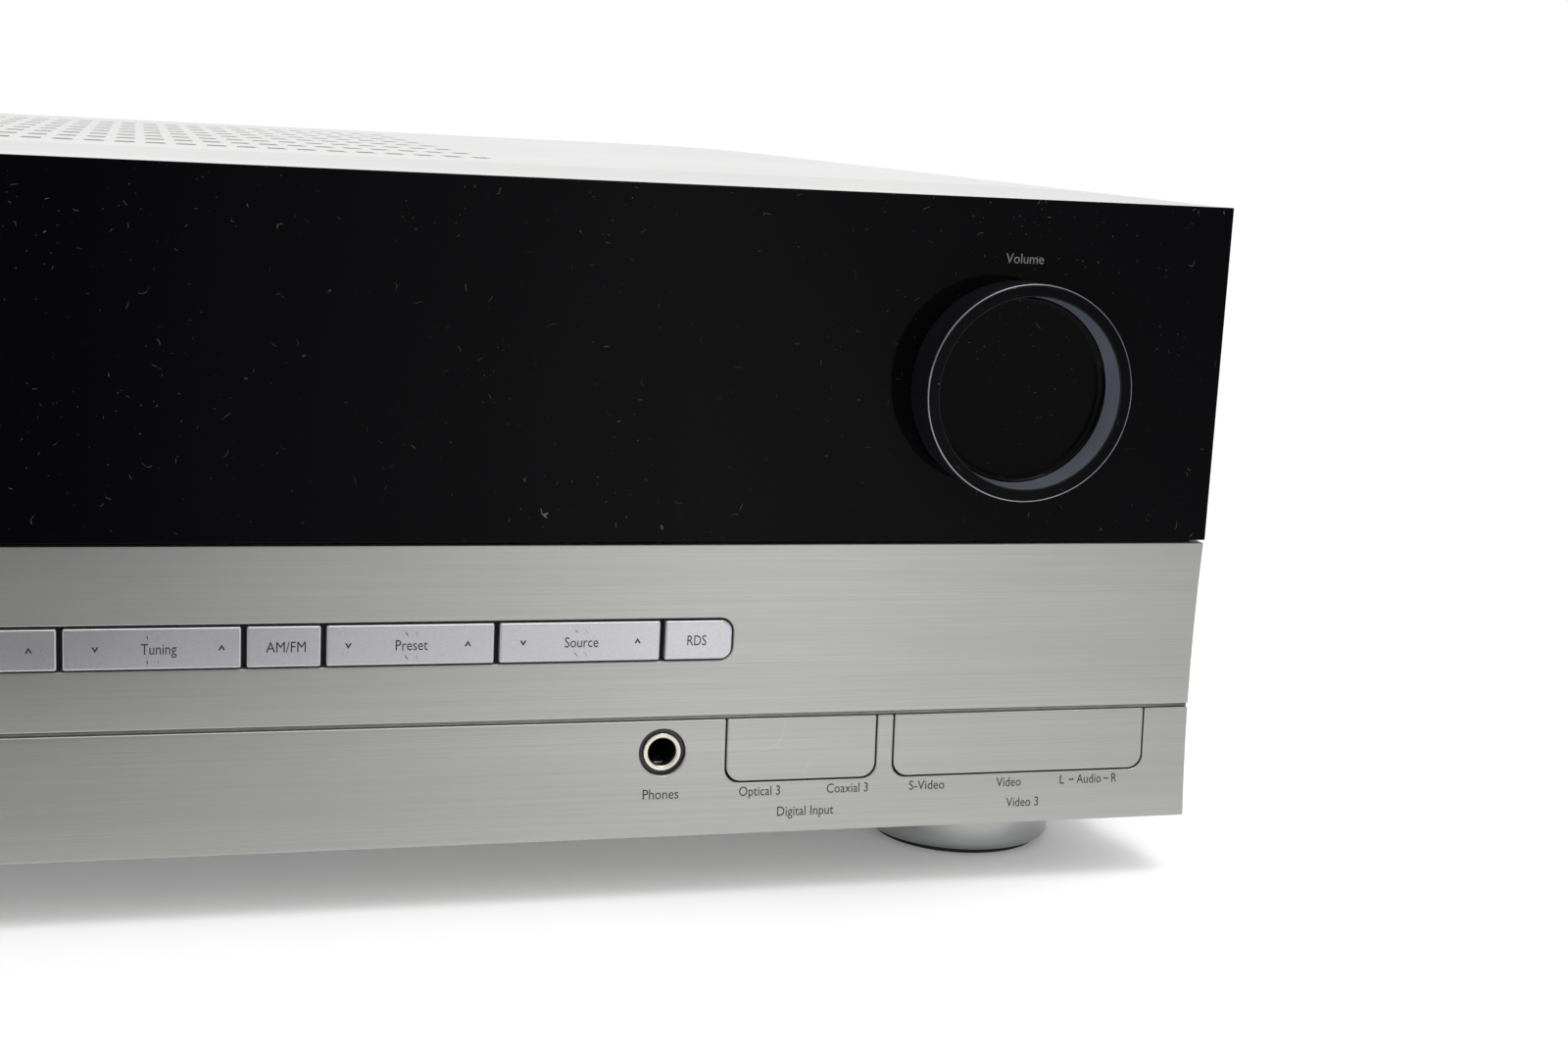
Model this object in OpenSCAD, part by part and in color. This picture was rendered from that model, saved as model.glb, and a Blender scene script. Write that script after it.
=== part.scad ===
// Audio/video receiver: gloss upper panel, two silver bands, dished volume knob, a row of keys, two pull-off
// socket covers, a folded steel case, and the boards, transformer and sockets that it carries.
// Origin: on the surface it stands on, under the middle of its overall width and depth. +Y points to the rear.
// In the modules below t is the depth behind the upper panel's face, x runs across and z runs up.

/* [Case] */
// Width across the front panels
case_w = 440; // [430:1:480]
// Height of the front panels, without the feet
case_h = 150; // [146:1:175]
// Depth from the upper panel's face to the rear panel's face
case_d = 352; // [340:1:430]
// Thickness of the folded steel sheet
sheet = 1; // [0.8:0.1:1.4]
// How far the steel case is set in from each side of the front panels
case_inset = 3; // [2.5:0.5:6]
// Rise of the top cover's middle above its sides
crown = 2.5; // [1.5:0.1:5]
// Width of each rounded shoulder of the top cover
shoulder_w = 62; // [30:1:70]
// Depth of the sloping hem along the cover's front edge
hem_d = 6; // [4:0.5:12]
// Height of the base pan's side flanges
flange_h = 60; // [40:1:90]

/* [Vents] */
// Slots side by side in the top vent field
vent_cols = 31; // [4:1:31]
// Rows of slots from front to rear
vent_rows = 8; // [1:1:8]
// Length of one slot, front to rear
vent_l = 13; // [10:1:30]
// Width of one slot
vent_w = 4.4; // [2:0.1:5]
// Distance between slots side by side
vent_px = 6.7; // [5.5:0.1:7]
// Distance between rows
vent_py = 34; // [31:0.5:35]
// Right end of the vent field
vent_end_x = 50; // [30:1:110]
// Depth of the first row behind the face
vent_t = 40; // [25:1:45]

/* [Feet] */
// Height of the feet
foot_h = 15; // [10:0.5:25]
// Largest radius of a foot
foot_r = 24; // [15:0.5:30]
// Thickness of the pad under a foot
pad_h = 3; // [2:0.5:5]
// Distance of the feet from the sides
foot_side = 44; // [35:1:80]
// Distance of the front feet behind the face
foot_front = 41; // [35:1:80]
// Distance of the rear feet from the rear panel
foot_rear = 46; // [35:1:80]

/* [Front panels] */
// Thickness of the gloss upper panel
panel_t = 3; // [2:0.5:4]
// Height of the lower silver band
lower_h = 27.25; // [25:0.25:32]
// Height of the upper silver band
upper_h = 40.75; // [34:0.25:46]
// Width of the groove between the bands
groove = 0.9; // [0.5:0.1:2]
// Width of the dark line under the upper panel
seam = 0.7; // [0.4:0.1:2]
// Depth of the bands' flat back
band_t = 4.5; // [4:0.1:6]
// How far the bands' lower edge stands out in front of the upper panel
lip_out = 1.1; // [0.5:0.1:2]
// How far the bands' top edge lies behind the upper panel's face
top_in = 0.5; // [0:0.1:1]
// Depth of the bands' hollow below a straight line from edge to edge
band_sag = 1.84; // [0.5:0.02:2]
// Thickness of the bands' side and bottom returns
return_t = 2; // [1.5:0.5:3]
// Depth of the moulded sub-frame
frame_d = 22; // [20:1:23]
// Thickness of the sub-frame's wall
frame_wall = 2.5; // [2:0.5:3]

/* [Keys] */
// Height of a key
key_h = 9.1; // [8:0.1:10]
// Distance between two neighbouring rockers
rocker_pitch = 38.1; // [34:0.1:39]
// Distance that a small key takes in the row
small_pitch = 17; // [14:0.1:20]
// Gap between two keys
key_gap = 1.2; // [0.8:0.1:1.6]
// Middle of the key row, right of the case's middle
row_x = 0.8; // [-5:0.1:5]
// Height of the key row above the case's underside
row_z = 46.4; // [44:0.1:50]
// Depth of the keys' faces
key_face = 0.9; // [0.5:0.1:1.2]
// Thickness of a key's plate
key_t = 2.5; // [2:0.1:2.6]
// Radius of a rocker's pivot pin
pivot_r = 1.5; // [1.2:0.1:1.8]
// Radius of the power button
power_r = 8; // [6:0.5:9]
// Distance of the power button from the left side
power_side = 30; // [26:1:40]

/* [Volume knob] */
// Outer radius of the knob
knob_r = 25.1; // [18:0.1:30]
// How far the knob stands out in front of the upper panel
knob_out = 13; // [11:0.5:18]
// Width of the knob's flat front rim
knob_rim = 2.9; // [2:0.1:5]
// Depth of the knob's dish
knob_dish = 8; // [5:0.5:9]
// Gap between the knob and the panel
knob_gap = 0.7; // [0.4:0.1:1.5]
// Distance of the knob's axis from the right side
knob_side = 54; // [45:1:60]
// Height of the knob's axis above the case's underside
knob_z = 106.4; // [100:0.2:115]
// Radius of the encoder's shaft
shaft_r = 3; // [2:0.5:3]

/* [Front sockets] */
// Height of the socket row above the case's underside
jack_z = 19.8; // [19:0.1:20]
// Radius of the hole in the headphone socket
phones_r = 3.2; // [3.2:0.1:3.4]
// Distance of the headphone socket from the right side
phones_side = 133.4; // [131:0.1:150]
// Lower edge of both covers above the case's underside
cover_z = 12.4; // [11:0.1:13]
// Width of the digital cover
digital_w = 36.6; // [34:0.1:40]
// Middle of the digital cover from the right side
digital_side = 99.7; // [99:0.1:104]
// Width of the video cover
av_w = 64.7; // [60:0.1:66]
// Middle of the video cover from the right side
av_side = 44.4; // [43:0.1:46]
// Radius of a cover's lower corners
cover_r = 3.6; // [1:0.1:5]
// Gap around a cover
cover_gap = 0.35; // [0.2:0.05:0.6]
// Depth of the front sockets' tips
tip_t = 8; // [7.5:0.5:9]
// Depth of the front socket boards
av_board_t = 24; // [23.5:0.5:28]

/* [Rear sockets] */
// Outer radius of a phono socket's shell
rca_r = 4.15; // [4.1:0.05:4.2]
// Length of a phono socket's shell outside the panel
rca_l = 9; // [8:0.5:10]
// Distance between socket columns
col_px = 15; // [14:0.5:18]
// First socket column, right of the middle
col_x = 42; // [35:1:50]
// How far the speaker posts stand out behind the rear panel
rear_out = 20; // [18:0.5:24]
// Radius of a speaker post's stud
stud_r = 3; // [2.9:0.1:3.2]
// Radius of the plug hole in a speaker post
plug_r = 2; // [1.95:0.05:2.1]
// Radius of a speaker post's cap
cap_r = 6.5; // [5.5:0.1:7.5]
// Distance between the two posts of a pair
post_pz = 19; // [16:0.5:22]
// Distance between pairs
post_px = 26; // [20:0.5:28]

/* [Hidden] */
$fn = 64;
eps = 0.01;
running = 0.06;
total_d = knob_out + case_d + rear_out;
y_face = knob_out - total_d / 2;
half_w = case_w / 2;
shell_w = half_w - case_inset;
z_base = foot_h;
z_top = foot_h + case_h;
z_lower = z_base + lower_h;
z_upper = z_lower + groove;
z_band = z_upper + upper_h;
z_panel = z_band + seam;
band_h = lower_h + groove + upper_h;
// The bands' hollow face is one cylinder through both outer edges
slope = lip_out + top_in;
chord = norm([band_h, slope]);
band_r = (chord * chord / 4 + band_sag * band_sag) / (2 * band_sag);
bow_z = z_base + band_h / 2 + slope / chord * (band_r - band_sag);
bow_t = (top_in - lip_out) / 2 - band_h / chord * (band_r - band_sag);
bow_fn = 720;
wall_t = band_t + frame_wall;
// Key row: small, rocker, rocker, small, rocker, rocker, small
row_w = 3 * small_pitch + 4 * rocker_pitch;
row_left = row_x - row_w / 2;
key_z = z_base + row_z;
rocker_x = [
    row_left + small_pitch + rocker_pitch / 2,
    row_left + small_pitch + rocker_pitch * 1.5,
    row_left + small_pitch * 2 + rocker_pitch * 2.5,
    row_left + small_pitch * 2 + rocker_pitch * 3.5
];
small_x = [row_left + small_pitch / 2, row_x, row_left + row_w - small_pitch / 2];
row_r = 3;
key_play = 0.4;
rocker_play = 1.4;
rib_play = 1.8;
key_stem = [6, 5];
rocker_stem = 3;
rib_w = 3;
stem_x = 13;
stem_t = 9.2;
pivot_t = 9.5;
ear_z = 3;
ear_h = 3;
ear_w = 6.5;
switch_t = 10;
switch_w = 6;
plunger_r = 1.7;
plunger_l = 0.8;
key_board_t = 13;
board_t = 1.6;
power_x = -half_w + power_side;
power_face = -1.5;
power_travel = 3;
power_end = 3.4;
power_gap = 0.3;
power_stem = 6;
power_stem_t = 16;
knob_x = half_w - knob_side;
knob_zc = z_base + knob_z;
knob_floor = -knob_out + knob_dish;
encoder_t = wall_t + 1;
shaft_hole = shaft_r + 1.5;
display_x = -20;
display_w = 190;
display_h = 36;
display_z = z_panel + 36;
display_board_t = 12;
display_post_r = 3;
key_post_r = 2.5;
key_post_z = 7;
phones_x = half_w - phones_side;
jack_zc = z_base + jack_z;
phones_hole = 5.5;
sleeve_r = 4.5;
sleeve_t = 1.1;
sleeve_end = 16;
socket_board_h = 26;
digital_x = half_w - digital_side;
av_x = half_w - av_side;
front_rca_x = [digital_x + 11.5, av_x - 2.6, av_x + 11.6, av_x + 25.3];
svideo_x = av_x - 23.7;
optical_x = digital_x - 10.1;
front_rca_l = 8;
shell_t = 0.75;
root_r = rca_r + 0.25;
pin_r = 1.6;
rca_body = 12;
svideo_r = 6.2;
svideo_bore = 4.7;
optical_w = 11;
optical_hole = 6;
jack_play = 0.4;
collar_l = 1;
rear_rows = [28, 46, 68, 86, 110];
svideo_row = 129;
rear_cols = 6;
jack_depth = 12;
post_x = -134;
post_z = 32;
speaker_plate = 3;
cap_gap = 0.3;
collar_t = 1.7;
cap_end = 1.4;
inlet_x = -shell_w + 34;
inlet_z = z_base + 42;
can_x = shell_w - 32;
fm_z = z_base + 112;
am_z = z_base + 78;
lever_dx = 5;
lever_z = am_z - 6;
lever_pin_r = 1.2;
lever_pin_l = 8.4;
deck_z = z_base + 12;
heat_t = 196;
heat_x = [-34, 176];
core_x = -half_w + 92;
core_t = 130;
core_w = 96;
core_h = 80;
stack_d = 50;
leg_w = 32;
window_h = 48;
window_w = 16;
trans_foot = 12;
wind = window_w - 1;
lead_end_x = -69;
mains_lead_r = 2.6;
ribbon_x = [80, 112];
ribbon_t = 1;
ribbon_end = 190;
lead_r = 1.8;
lead_t = [for (i = [0:2]) core_t + stack_d / 2 + 3 + i * 4.5];
screw_r = 2.8;
screw_h = 1.8;
// Filter capacitors
filter_x = [-34, 6];
filter_t = 118;
filter_r = 17.5;
filter_h = 52;
// Screws of the supply board, then of the amplifier board
deck_points = [
    [-58, 62], [60, 62], [-58, 168], [60, 168],
    [-28, 186], [196, 186], [-28, case_d - 24], [196, case_d - 24], [84, 186], [84, case_d - 24]
];

// A box from low to high x, t and z
module box(x0, x1, t0, t1, z0, z1) {
    translate([x0, y_face + t0, z0])
        cube([x1 - x0, t1 - t0, z1 - z0]);
}

// A box of width w and height h about x and z
module block(x, t0, t1, z, w, h) {
    box(x - w / 2, x + w / 2, t0, t1, z - h / 2, z + h / 2);
}

// A rod along the depth
module rod(x, t0, t1, z, r) {
    translate([x, y_face + t0, z])
        rotate([-90, 0, 0])
            cylinder(r = r, h = t1 - t0);
}

// A tube along the depth
module tube(x, t0, t1, z, r, hole) {
    difference() {
        rod(x, t0, t1, z, r);
        rod(x, t0 - eps, t1 + eps, z, hole);
    }
}

// A rectangle with rounded corners, chosen one by one as [left low, right low, left high, right high]
module plate_outline(w, h, r, round_at) {
    difference() {
        square([w, h], center = true);
        for (i = [0:3])
            if (round_at[i])
                let (sx = i % 2 == 0 ? -1 : 1, sz = i < 2 ? -1 : 1)
                    translate([sx * (w / 2 - r), sz * (h / 2 - r)])
                        difference() {
                            translate([sx > 0 ? 0 : -r - 1, sz > 0 ? 0 : -r - 1])
                                square([r + 1, r + 1]);
                            circle(r = r);
                        }
    }
}

// A rounded plate along the depth
module plate(x, t0, t1, z, w, h, r, round_at) {
    translate([x, y_face + t1, z])
        rotate([90, 0, 0])
            linear_extrude(t1 - t0)
                plate_outline(w, h, r, round_at);
}

// Everything in front of the bands' hollow face
module band_front() {
    translate([0, y_face + bow_t, bow_z])
        rotate([0, 90, 0])
            cylinder(r = band_r, h = case_w + 2, center = true, $fn = bow_fn);
}

// Section of the case, set in by a wall
module case_outline(inset, low) {
    steps = 10;
    top = z_top + crown - inset;
    reach = shell_w - inset;
    arc = [for (i = [0:steps]) [reach - shoulder_w * i / steps, top - crown * pow(1 - i / steps, 2)]];
    mirrored = [for (i = [steps:-1:0]) [-arc[i][0], arc[i][1]]];
    polygon(concat([[reach, low]], arc, mirrored, [[-reach, low]]));
}

module case_solid(inset, low, t0, t1) {
    translate([0, y_face + t1, 0])
        rotate([90, 0, 0])
            linear_extrude(t1 - t0)
                case_outline(inset, low);
}

// ---- Front ----

module pocket(x, w, t0, t1, grow) {
    top = z_lower + grow;
    low = z_base + cover_z - cover_gap - grow;
    full = w + 2 * cover_gap + 2 * grow;
    plate(x, t0, t1, (top + low) / 2, full, top - low, cover_r + grow, [1, 1, 0, 0]);
}

module tunnel(x, w) {
    difference() {
        pocket(x, w, wall_t - eps, av_board_t, 1.5);
        pocket(x, w, wall_t - 1, av_board_t + 1, 0);
    }
}

module front_frame() {
    color("#1b1c20")
    difference() {
        union() {
            box(-half_w, half_w, panel_t, wall_t, z_panel, z_top - sheet);
            box(-half_w + return_t, half_w - return_t, band_t, wall_t, z_base + return_t, z_panel + eps);
            // Rim behind the upper panel
            box(-half_w, -half_w + frame_wall, panel_t, frame_d, z_panel, z_top - sheet);
            box(half_w - frame_wall, half_w, panel_t, frame_d, z_panel, z_top - sheet);
            box(-half_w, half_w, panel_t, frame_d, z_top - sheet - frame_wall, z_top - sheet);
            // Rim behind the bands
            box(-half_w + return_t, -half_w + return_t + frame_wall, band_t, frame_d,
                z_base + return_t, z_panel + eps);
            box(half_w - return_t - frame_wall, half_w - return_t, band_t, frame_d,
                z_base + return_t, z_panel + eps);
            box(-half_w + return_t, half_w - return_t, band_t, frame_d,
                z_base + return_t, z_base + return_t + frame_wall);
            // Pivot ears of the rockers
            for (x = rocker_x)
                for (s = [-1, 1])
                    block(x, wall_t - eps, pivot_t + pivot_r + 1.5,
                        key_z + s * (ear_z + ear_h / 2), ear_w, ear_h);
            // Posts of the display board and the key board
            for (x = [-1, 1])
                for (z = [-1, 1]) {
                    rod(display_x + x * (display_w / 2 + 6), wall_t - eps, display_board_t,
                        display_z + z * display_h / 2, display_post_r);
                    rod(row_x + x * (row_w / 2 + 5), wall_t - eps, key_board_t,
                        key_z + z * key_post_z, key_post_r);
                }
            tunnel(digital_x, digital_w);
            tunnel(av_x, av_w);
        }
        // Display window
        block(display_x, panel_t - 1, wall_t + 1, display_z, display_w, display_h);
        rod(knob_x, panel_t - 1, wall_t + 1, knob_zc, shaft_hole);
        rod(power_x, band_t - 1, wall_t + 1, key_z, power_r + power_gap);
        rod(phones_x, band_t - 1, wall_t + 1, jack_zc, phones_hole);
        pocket(digital_x, digital_w, band_t - 1, wall_t + 1, 0);
        pocket(av_x, av_w, band_t - 1, wall_t + 1, 0);
        for (x = rocker_x) {
            block(x, band_t - 1, wall_t + 1, key_z, rib_w + rib_play, 2 * ear_z);
            for (s = [-1, 1])
                block(x + s * stem_x, band_t - 1, wall_t + 1, key_z,
                    rocker_stem + rocker_play, rocker_stem + rocker_play);
            translate([x, y_face + pivot_t, key_z])
                cylinder(r = pivot_r + running, h = 2 * (ear_z + ear_h) + 2, center = true);
        }
        for (x = small_x)
            block(x, band_t - 1, wall_t + 1, key_z, key_stem[0] + key_play, key_stem[1] + key_play);
    }
}

module upper_panel() {
    color("#0b0b0e")
    difference() {
        box(-half_w, half_w, 0, panel_t, z_panel, z_top);
        rod(knob_x, -1, panel_t + 1, knob_zc, shaft_hole);
    }
}

module upper_band() {
    color("#b3b5b0")
    difference() {
        union() {
            box(-half_w, half_w, -lip_out, band_t, z_upper, z_band);
            for (s = [-1, 1])
                box(s * half_w - (s > 0 ? return_t : 0), s * half_w + (s > 0 ? 0 : return_t),
                    band_t - eps, frame_d, z_upper, z_band);
        }
        band_front();
        plate(row_x, -5, band_t + 1, key_z, row_w - key_gap + 1, key_h + 0.9, row_r + 0.3, [1, 1, 1, 1]);
        rod(power_x, -5, band_t + 1, key_z, power_r + power_gap);
    }
}

module lower_band() {
    color("#aeb0ab")
    difference() {
        union() {
            box(-half_w, half_w, -lip_out, band_t, z_base, z_lower);
            box(-half_w, half_w, -lip_out, frame_d, z_base, z_base + return_t);
            for (s = [-1, 1])
                box(s * half_w - (s > 0 ? return_t : 0), s * half_w + (s > 0 ? 0 : return_t),
                    band_t - eps, frame_d, z_base, z_lower);
        }
        band_front();
        rod(phones_x, -5, band_t + 1, jack_zc, phones_hole);
        pocket(digital_x, digital_w, -5, band_t + 1, 0);
        pocket(av_x, av_w, -5, band_t + 1, 0);
    }
}

// A push key: a plate with a square stem that runs in the sub-frame
module small_key(x, round_at) {
    color("#bdbdc2") {
        plate(x, key_face, key_face + key_t, key_z, small_pitch - key_gap, key_h, row_r - 0.4, round_at);
        block(x, key_face + key_t - eps, stem_t, key_z, key_stem[0], key_stem[1]);
    }
}

// A rocker key: a plate, a rib with its pivot pin, and two stems over the switches
module rocker_key(x) {
    color("#bdbdc2") {
        block(x, key_face, key_face + key_t, key_z, rocker_pitch - key_gap, key_h);
        block(x, key_face + key_t - eps, pivot_t, key_z, rib_w, 2 * ear_z - 0.6);
        translate([x, y_face + pivot_t, key_z])
            cylinder(r = pivot_r, h = 2 * ear_z + ear_h + 1, center = true);
        for (s = [-1, 1])
            block(x + s * stem_x, key_face + key_t - eps, stem_t, key_z, rocker_stem, rocker_stem);
    }
}

module key_surround() {
    small_key(small_x[0], [1, 0, 1, 0]);
}

module key_mode() {
    rocker_key(rocker_x[0]);
}

module key_tuning() {
    rocker_key(rocker_x[1]);
}

module key_band() {
    small_key(small_x[1], [0, 0, 0, 0]);
}

module key_preset() {
    rocker_key(rocker_x[2]);
}

module key_source() {
    rocker_key(rocker_x[3]);
}

module key_rds() {
    small_key(small_x[2], [0, 1, 0, 1]);
}

module power_button() {
    color("#c4c4c8") {
        rod(power_x, power_face, power_end, key_z, power_r);
        block(power_x, power_end - eps, power_stem_t, key_z, power_stem, power_stem);
    }
}

module power_switch() {
    color("#26262a")
    difference() {
        block(power_x, wall_t, 32, key_z, 22, 24);
        block(power_x, wall_t - 1, power_stem_t + power_travel + 1, key_z,
            power_stem + 2 * power_gap, power_stem + 2 * power_gap);
    }
}

module volume_knob() {
    inner = knob_r - knob_rim;
    hub = shaft_r + 3;
    back = -knob_gap;
    skirt = 2.2;
    color("#101013")
    translate([knob_x, y_face, knob_zc])
        rotate([90, 0, 0])
            rotate_extrude()
                polygon([
                    [0, -knob_floor],
                    [inner - 0.6, -knob_floor],
                    [inner, knob_out],
                    [knob_r - 0.5, knob_out],
                    [knob_r, knob_out - 0.5],
                    [knob_r, -back],
                    [knob_r - skirt, -back],
                    [knob_r - skirt, -knob_floor - 2],
                    [hub, -knob_floor - 2],
                    [hub, -back],
                    [shaft_r + 0.02, -back],
                    [shaft_r + 0.02, -knob_floor - 1.5],
                    [0, -knob_floor - 1.5]
                ]);
}

module encoder_shaft() {
    color("#c8c8c4")
    rod(knob_x, knob_floor + 1.5, encoder_t + 4, knob_zc, shaft_r);
}

module encoder_body() {
    color("#8b8f96")
    difference() {
        union() {
            // Bushing through the sub-frame, its nut in front and the housing behind
            rod(knob_x, panel_t + 0.5, wall_t + eps, knob_zc, shaft_r + 1.4);
            block(knob_x, wall_t, encoder_t + 7, knob_zc, 13, 14);
        }
        rod(knob_x, panel_t, encoder_t + 5, knob_zc, shaft_r + running);
    }
}

module display_tube() {
    color("#1d2a2c")
    block(display_x, wall_t - 1.5, display_board_t, display_z, display_w - 6, display_h - 4);
}

module front_boards() {
    color("#2f5b34") {
        // Display board
        block(display_x, display_board_t, display_board_t + board_t, display_z,
            display_w + 22, display_h + 14);
        // Key board
        block(row_x, key_board_t, key_board_t + board_t, key_z, row_w + 18, 20);
        // Socket boards
        block(digital_x, av_board_t, av_board_t + board_t, jack_zc, digital_w + 8, socket_board_h);
        block(av_x, av_board_t, av_board_t + board_t, jack_zc, av_w + 8, socket_board_h);
        block(phones_x - 2, av_board_t, av_board_t + board_t, jack_zc, 22, socket_board_h);
    }
}

module key_switches() {
    color("#3c3c40") {
        for (x = rocker_x)
            for (s = [-1, 1])
                key_switch(x + s * stem_x);
        for (x = small_x)
            key_switch(x);
    }
}

module key_switch(x) {
    block(x, switch_t + plunger_l, key_board_t, key_z, switch_w, switch_w);
    rod(x, switch_t, switch_t + plunger_l + eps, key_z, plunger_r);
}

// A pull-off cover: a plate that follows the band's face, with two clip legs
module socket_cover(x, w) {
    back = 3;
    leg_t = 1.2;
    leg_h = 7;
    high = z_lower - z_base - cover_z;
    zc = z_base + cover_z + high / 2;
    color("#a9aba6") {
        difference() {
            plate(x, -lip_out, back, zc, w, high, cover_r, [1, 1, 0, 0]);
            band_front();
        }
        for (s = [-1, 1])
            block(x + s * (w - leg_t) / 2, back - eps, tip_t + 5, zc + 1, leg_t, leg_h);
    }
}

module digital_cover() {
    socket_cover(digital_x, digital_w);
}

module av_cover() {
    socket_cover(av_x, av_w);
}

module phones_ring() {
    color("#cfc9b8")
    tube(phones_x, sleeve_t, sleeve_end, jack_zc, sleeve_r, phones_r);
}

module phones_body() {
    color("#141416") {
        tube(phones_x, sleeve_t + 0.7, wall_t + eps, jack_zc, phones_hole - 0.05, sleeve_r);
        difference() {
            block(phones_x, wall_t, av_board_t, jack_zc, 15, 15);
            rod(phones_x, wall_t - 1, sleeve_end, jack_zc, sleeve_r);
            rod(phones_x, sleeve_end - 1, av_board_t - 1, jack_zc, phones_r + 0.2);
        }
    }
}

// A phono socket's shell: a sleeve from low to high, with a thicker root from root_low to root_high
module rca_shell(x, z, low, high, root_low, root_high) {
    difference() {
        union() {
            rod(x, low, high, z, rca_r);
            rod(x, root_low, root_high, z, root_r);
        }
        rod(x, low - 1, high + 1, z, rca_r - shell_t);
    }
}

module front_rca_shells() {
    color("#c9a455")
    for (x = front_rca_x)
        rca_shell(x, jack_zc, tip_t, tip_t + front_rca_l,
            tip_t + front_rca_l - collar_l, tip_t + front_rca_l);
}

module front_rca_inserts() {
    color("#d8c23a")
    for (x = front_rca_x) {
        tube(x, tip_t + 0.6, tip_t + front_rca_l, jack_zc, rca_r - shell_t, pin_r);
        tube(x, tip_t + front_rca_l - collar_l, tip_t + front_rca_l, jack_zc, rca_r + 1.6, root_r);
    }
}

module front_jack_bodies() {
    color("#18181b") {
        for (x = front_rca_x)
            block(x, tip_t + front_rca_l, av_board_t, jack_zc, rca_body, rca_body);
        // Round video socket
        difference() {
            union() {
                rod(svideo_x, tip_t, tip_t + front_rca_l + eps, jack_zc, svideo_r);
                block(svideo_x, tip_t + front_rca_l, av_board_t, jack_zc, 14, 13);
            }
            rod(svideo_x, tip_t - 1, tip_t + 7, jack_zc, svideo_bore);
        }
        // Optical socket
        difference() {
            block(optical_x, tip_t + 1, av_board_t, jack_zc, optical_w, optical_w);
            block(optical_x, tip_t, tip_t + 7, jack_zc, optical_hole, optical_hole);
        }
    }
}

// ---- Case ----

module base_pan() {
    front = frame_d;
    back = case_d - sheet;
    slot = 4;
    color("#8f9294")
    difference() {
        union() {
            box(-shell_w + sheet, shell_w - sheet, front, back, z_base, z_base + sheet);
            for (s = [-1, 1])
                box(s * (shell_w - sheet) - (s > 0 ? sheet : 0), s * (shell_w - sheet) + (s > 0 ? 0 : sheet),
                    front, back, z_base, z_base + flange_h);
            box(-shell_w + sheet, shell_w - sheet, front, front + sheet, z_base, z_base + 6);
        }
        // Floor vents under the transformer and the heat sink
        for (i = [0:9])
            block(core_x - 56 + i * 3 * slot, core_t + 48, core_t + 78, z_base, slot, 3 * sheet);
        for (i = [0:13])
            block(22 + i * 2.5 * slot, heat_t + 4, heat_t + 44, z_base, slot, 3 * sheet);
    }
}

module rear_panel() {
    before = case_d - 2 * sheet;
    after = case_d + 1;
    color("#2a2b2e")
    difference() {
        case_solid(sheet, z_base + sheet, case_d - sheet, case_d);
        for (row = rear_rows)
            for (col = [0:rear_cols - 1])
                rod(col_x + col * col_px, before, after, z_base + row, rca_r + jack_play);
        for (col = [0:3])
            rod(col_x + col * col_px, before, after, z_base + svideo_row, svideo_r + 0.3);
        for (col = [4:5])
            block(col_x + col * col_px, before, after, z_base + svideo_row,
                optical_w + jack_play, optical_w + jack_play);
        block(post_x + 1.5 * post_px, before, after, z_base + post_z + post_pz / 2,
            4 * post_px - 8, post_pz + 14);
        block(inlet_x, before, after, inlet_z, 29, 22);
        rod(can_x, before, after, fm_z, 5.2);
        block(can_x, before, after, am_z, 20, 26);
        // Side vents
        for (i = [0:11])
            block(-156 + i * 10, before, after, z_base + 110, 4, 44);
    }
}

module top_cover() {
    front = panel_t + 0.2;
    color("#e4e4e1")
    difference() {
        case_solid(0, z_base, front, case_d);
        // Inside of the cover, open at the front, below and behind
        case_solid(sheet, z_base - 1, front + hem_d, case_d + 1);
        // The skirts start behind the sub-frame
        box(-half_w, half_w, 0, frame_d + 0.3, z_base - 1, z_top - sheet);
        // Sloping front hem
        translate([0, y_face + front, z_top])
            rotate([atan(crown / hem_d), 0, 0])
                translate([-half_w, -hem_d, 0])
                    cube([case_w, 3 * hem_d, 3 * crown + 5]);
        for (i = [0:vent_cols - 1])
            for (j = [0:vent_rows - 1])
                translate([vent_end_x - vent_w - i * vent_px, y_face + vent_t + j * vent_py, z_top])
                    cube([vent_w, vent_l, crown + 1]);
    }
}

module at_feet() {
    for (x = [-1, 1])
        for (t = [foot_front, case_d - foot_rear])
            translate([x * (half_w - foot_side), y_face + t, 0])
                children();
}

module feet() {
    color("#a8aaa8")
    at_feet()
        rotate_extrude()
            polygon([
                [4, foot_h],
                [foot_r - 1.5, foot_h],
                [foot_r, foot_h - 1.5],
                [foot_r, pad_h - 1.5],
                [foot_r - 2.5, pad_h - 1.5],
                [foot_r - 2.5, pad_h],
                [4, pad_h]
            ]);
}

module foot_pads() {
    color("#17171a")
    at_feet()
        cylinder(r = foot_r - 2.7, h = pad_h);
}

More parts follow.
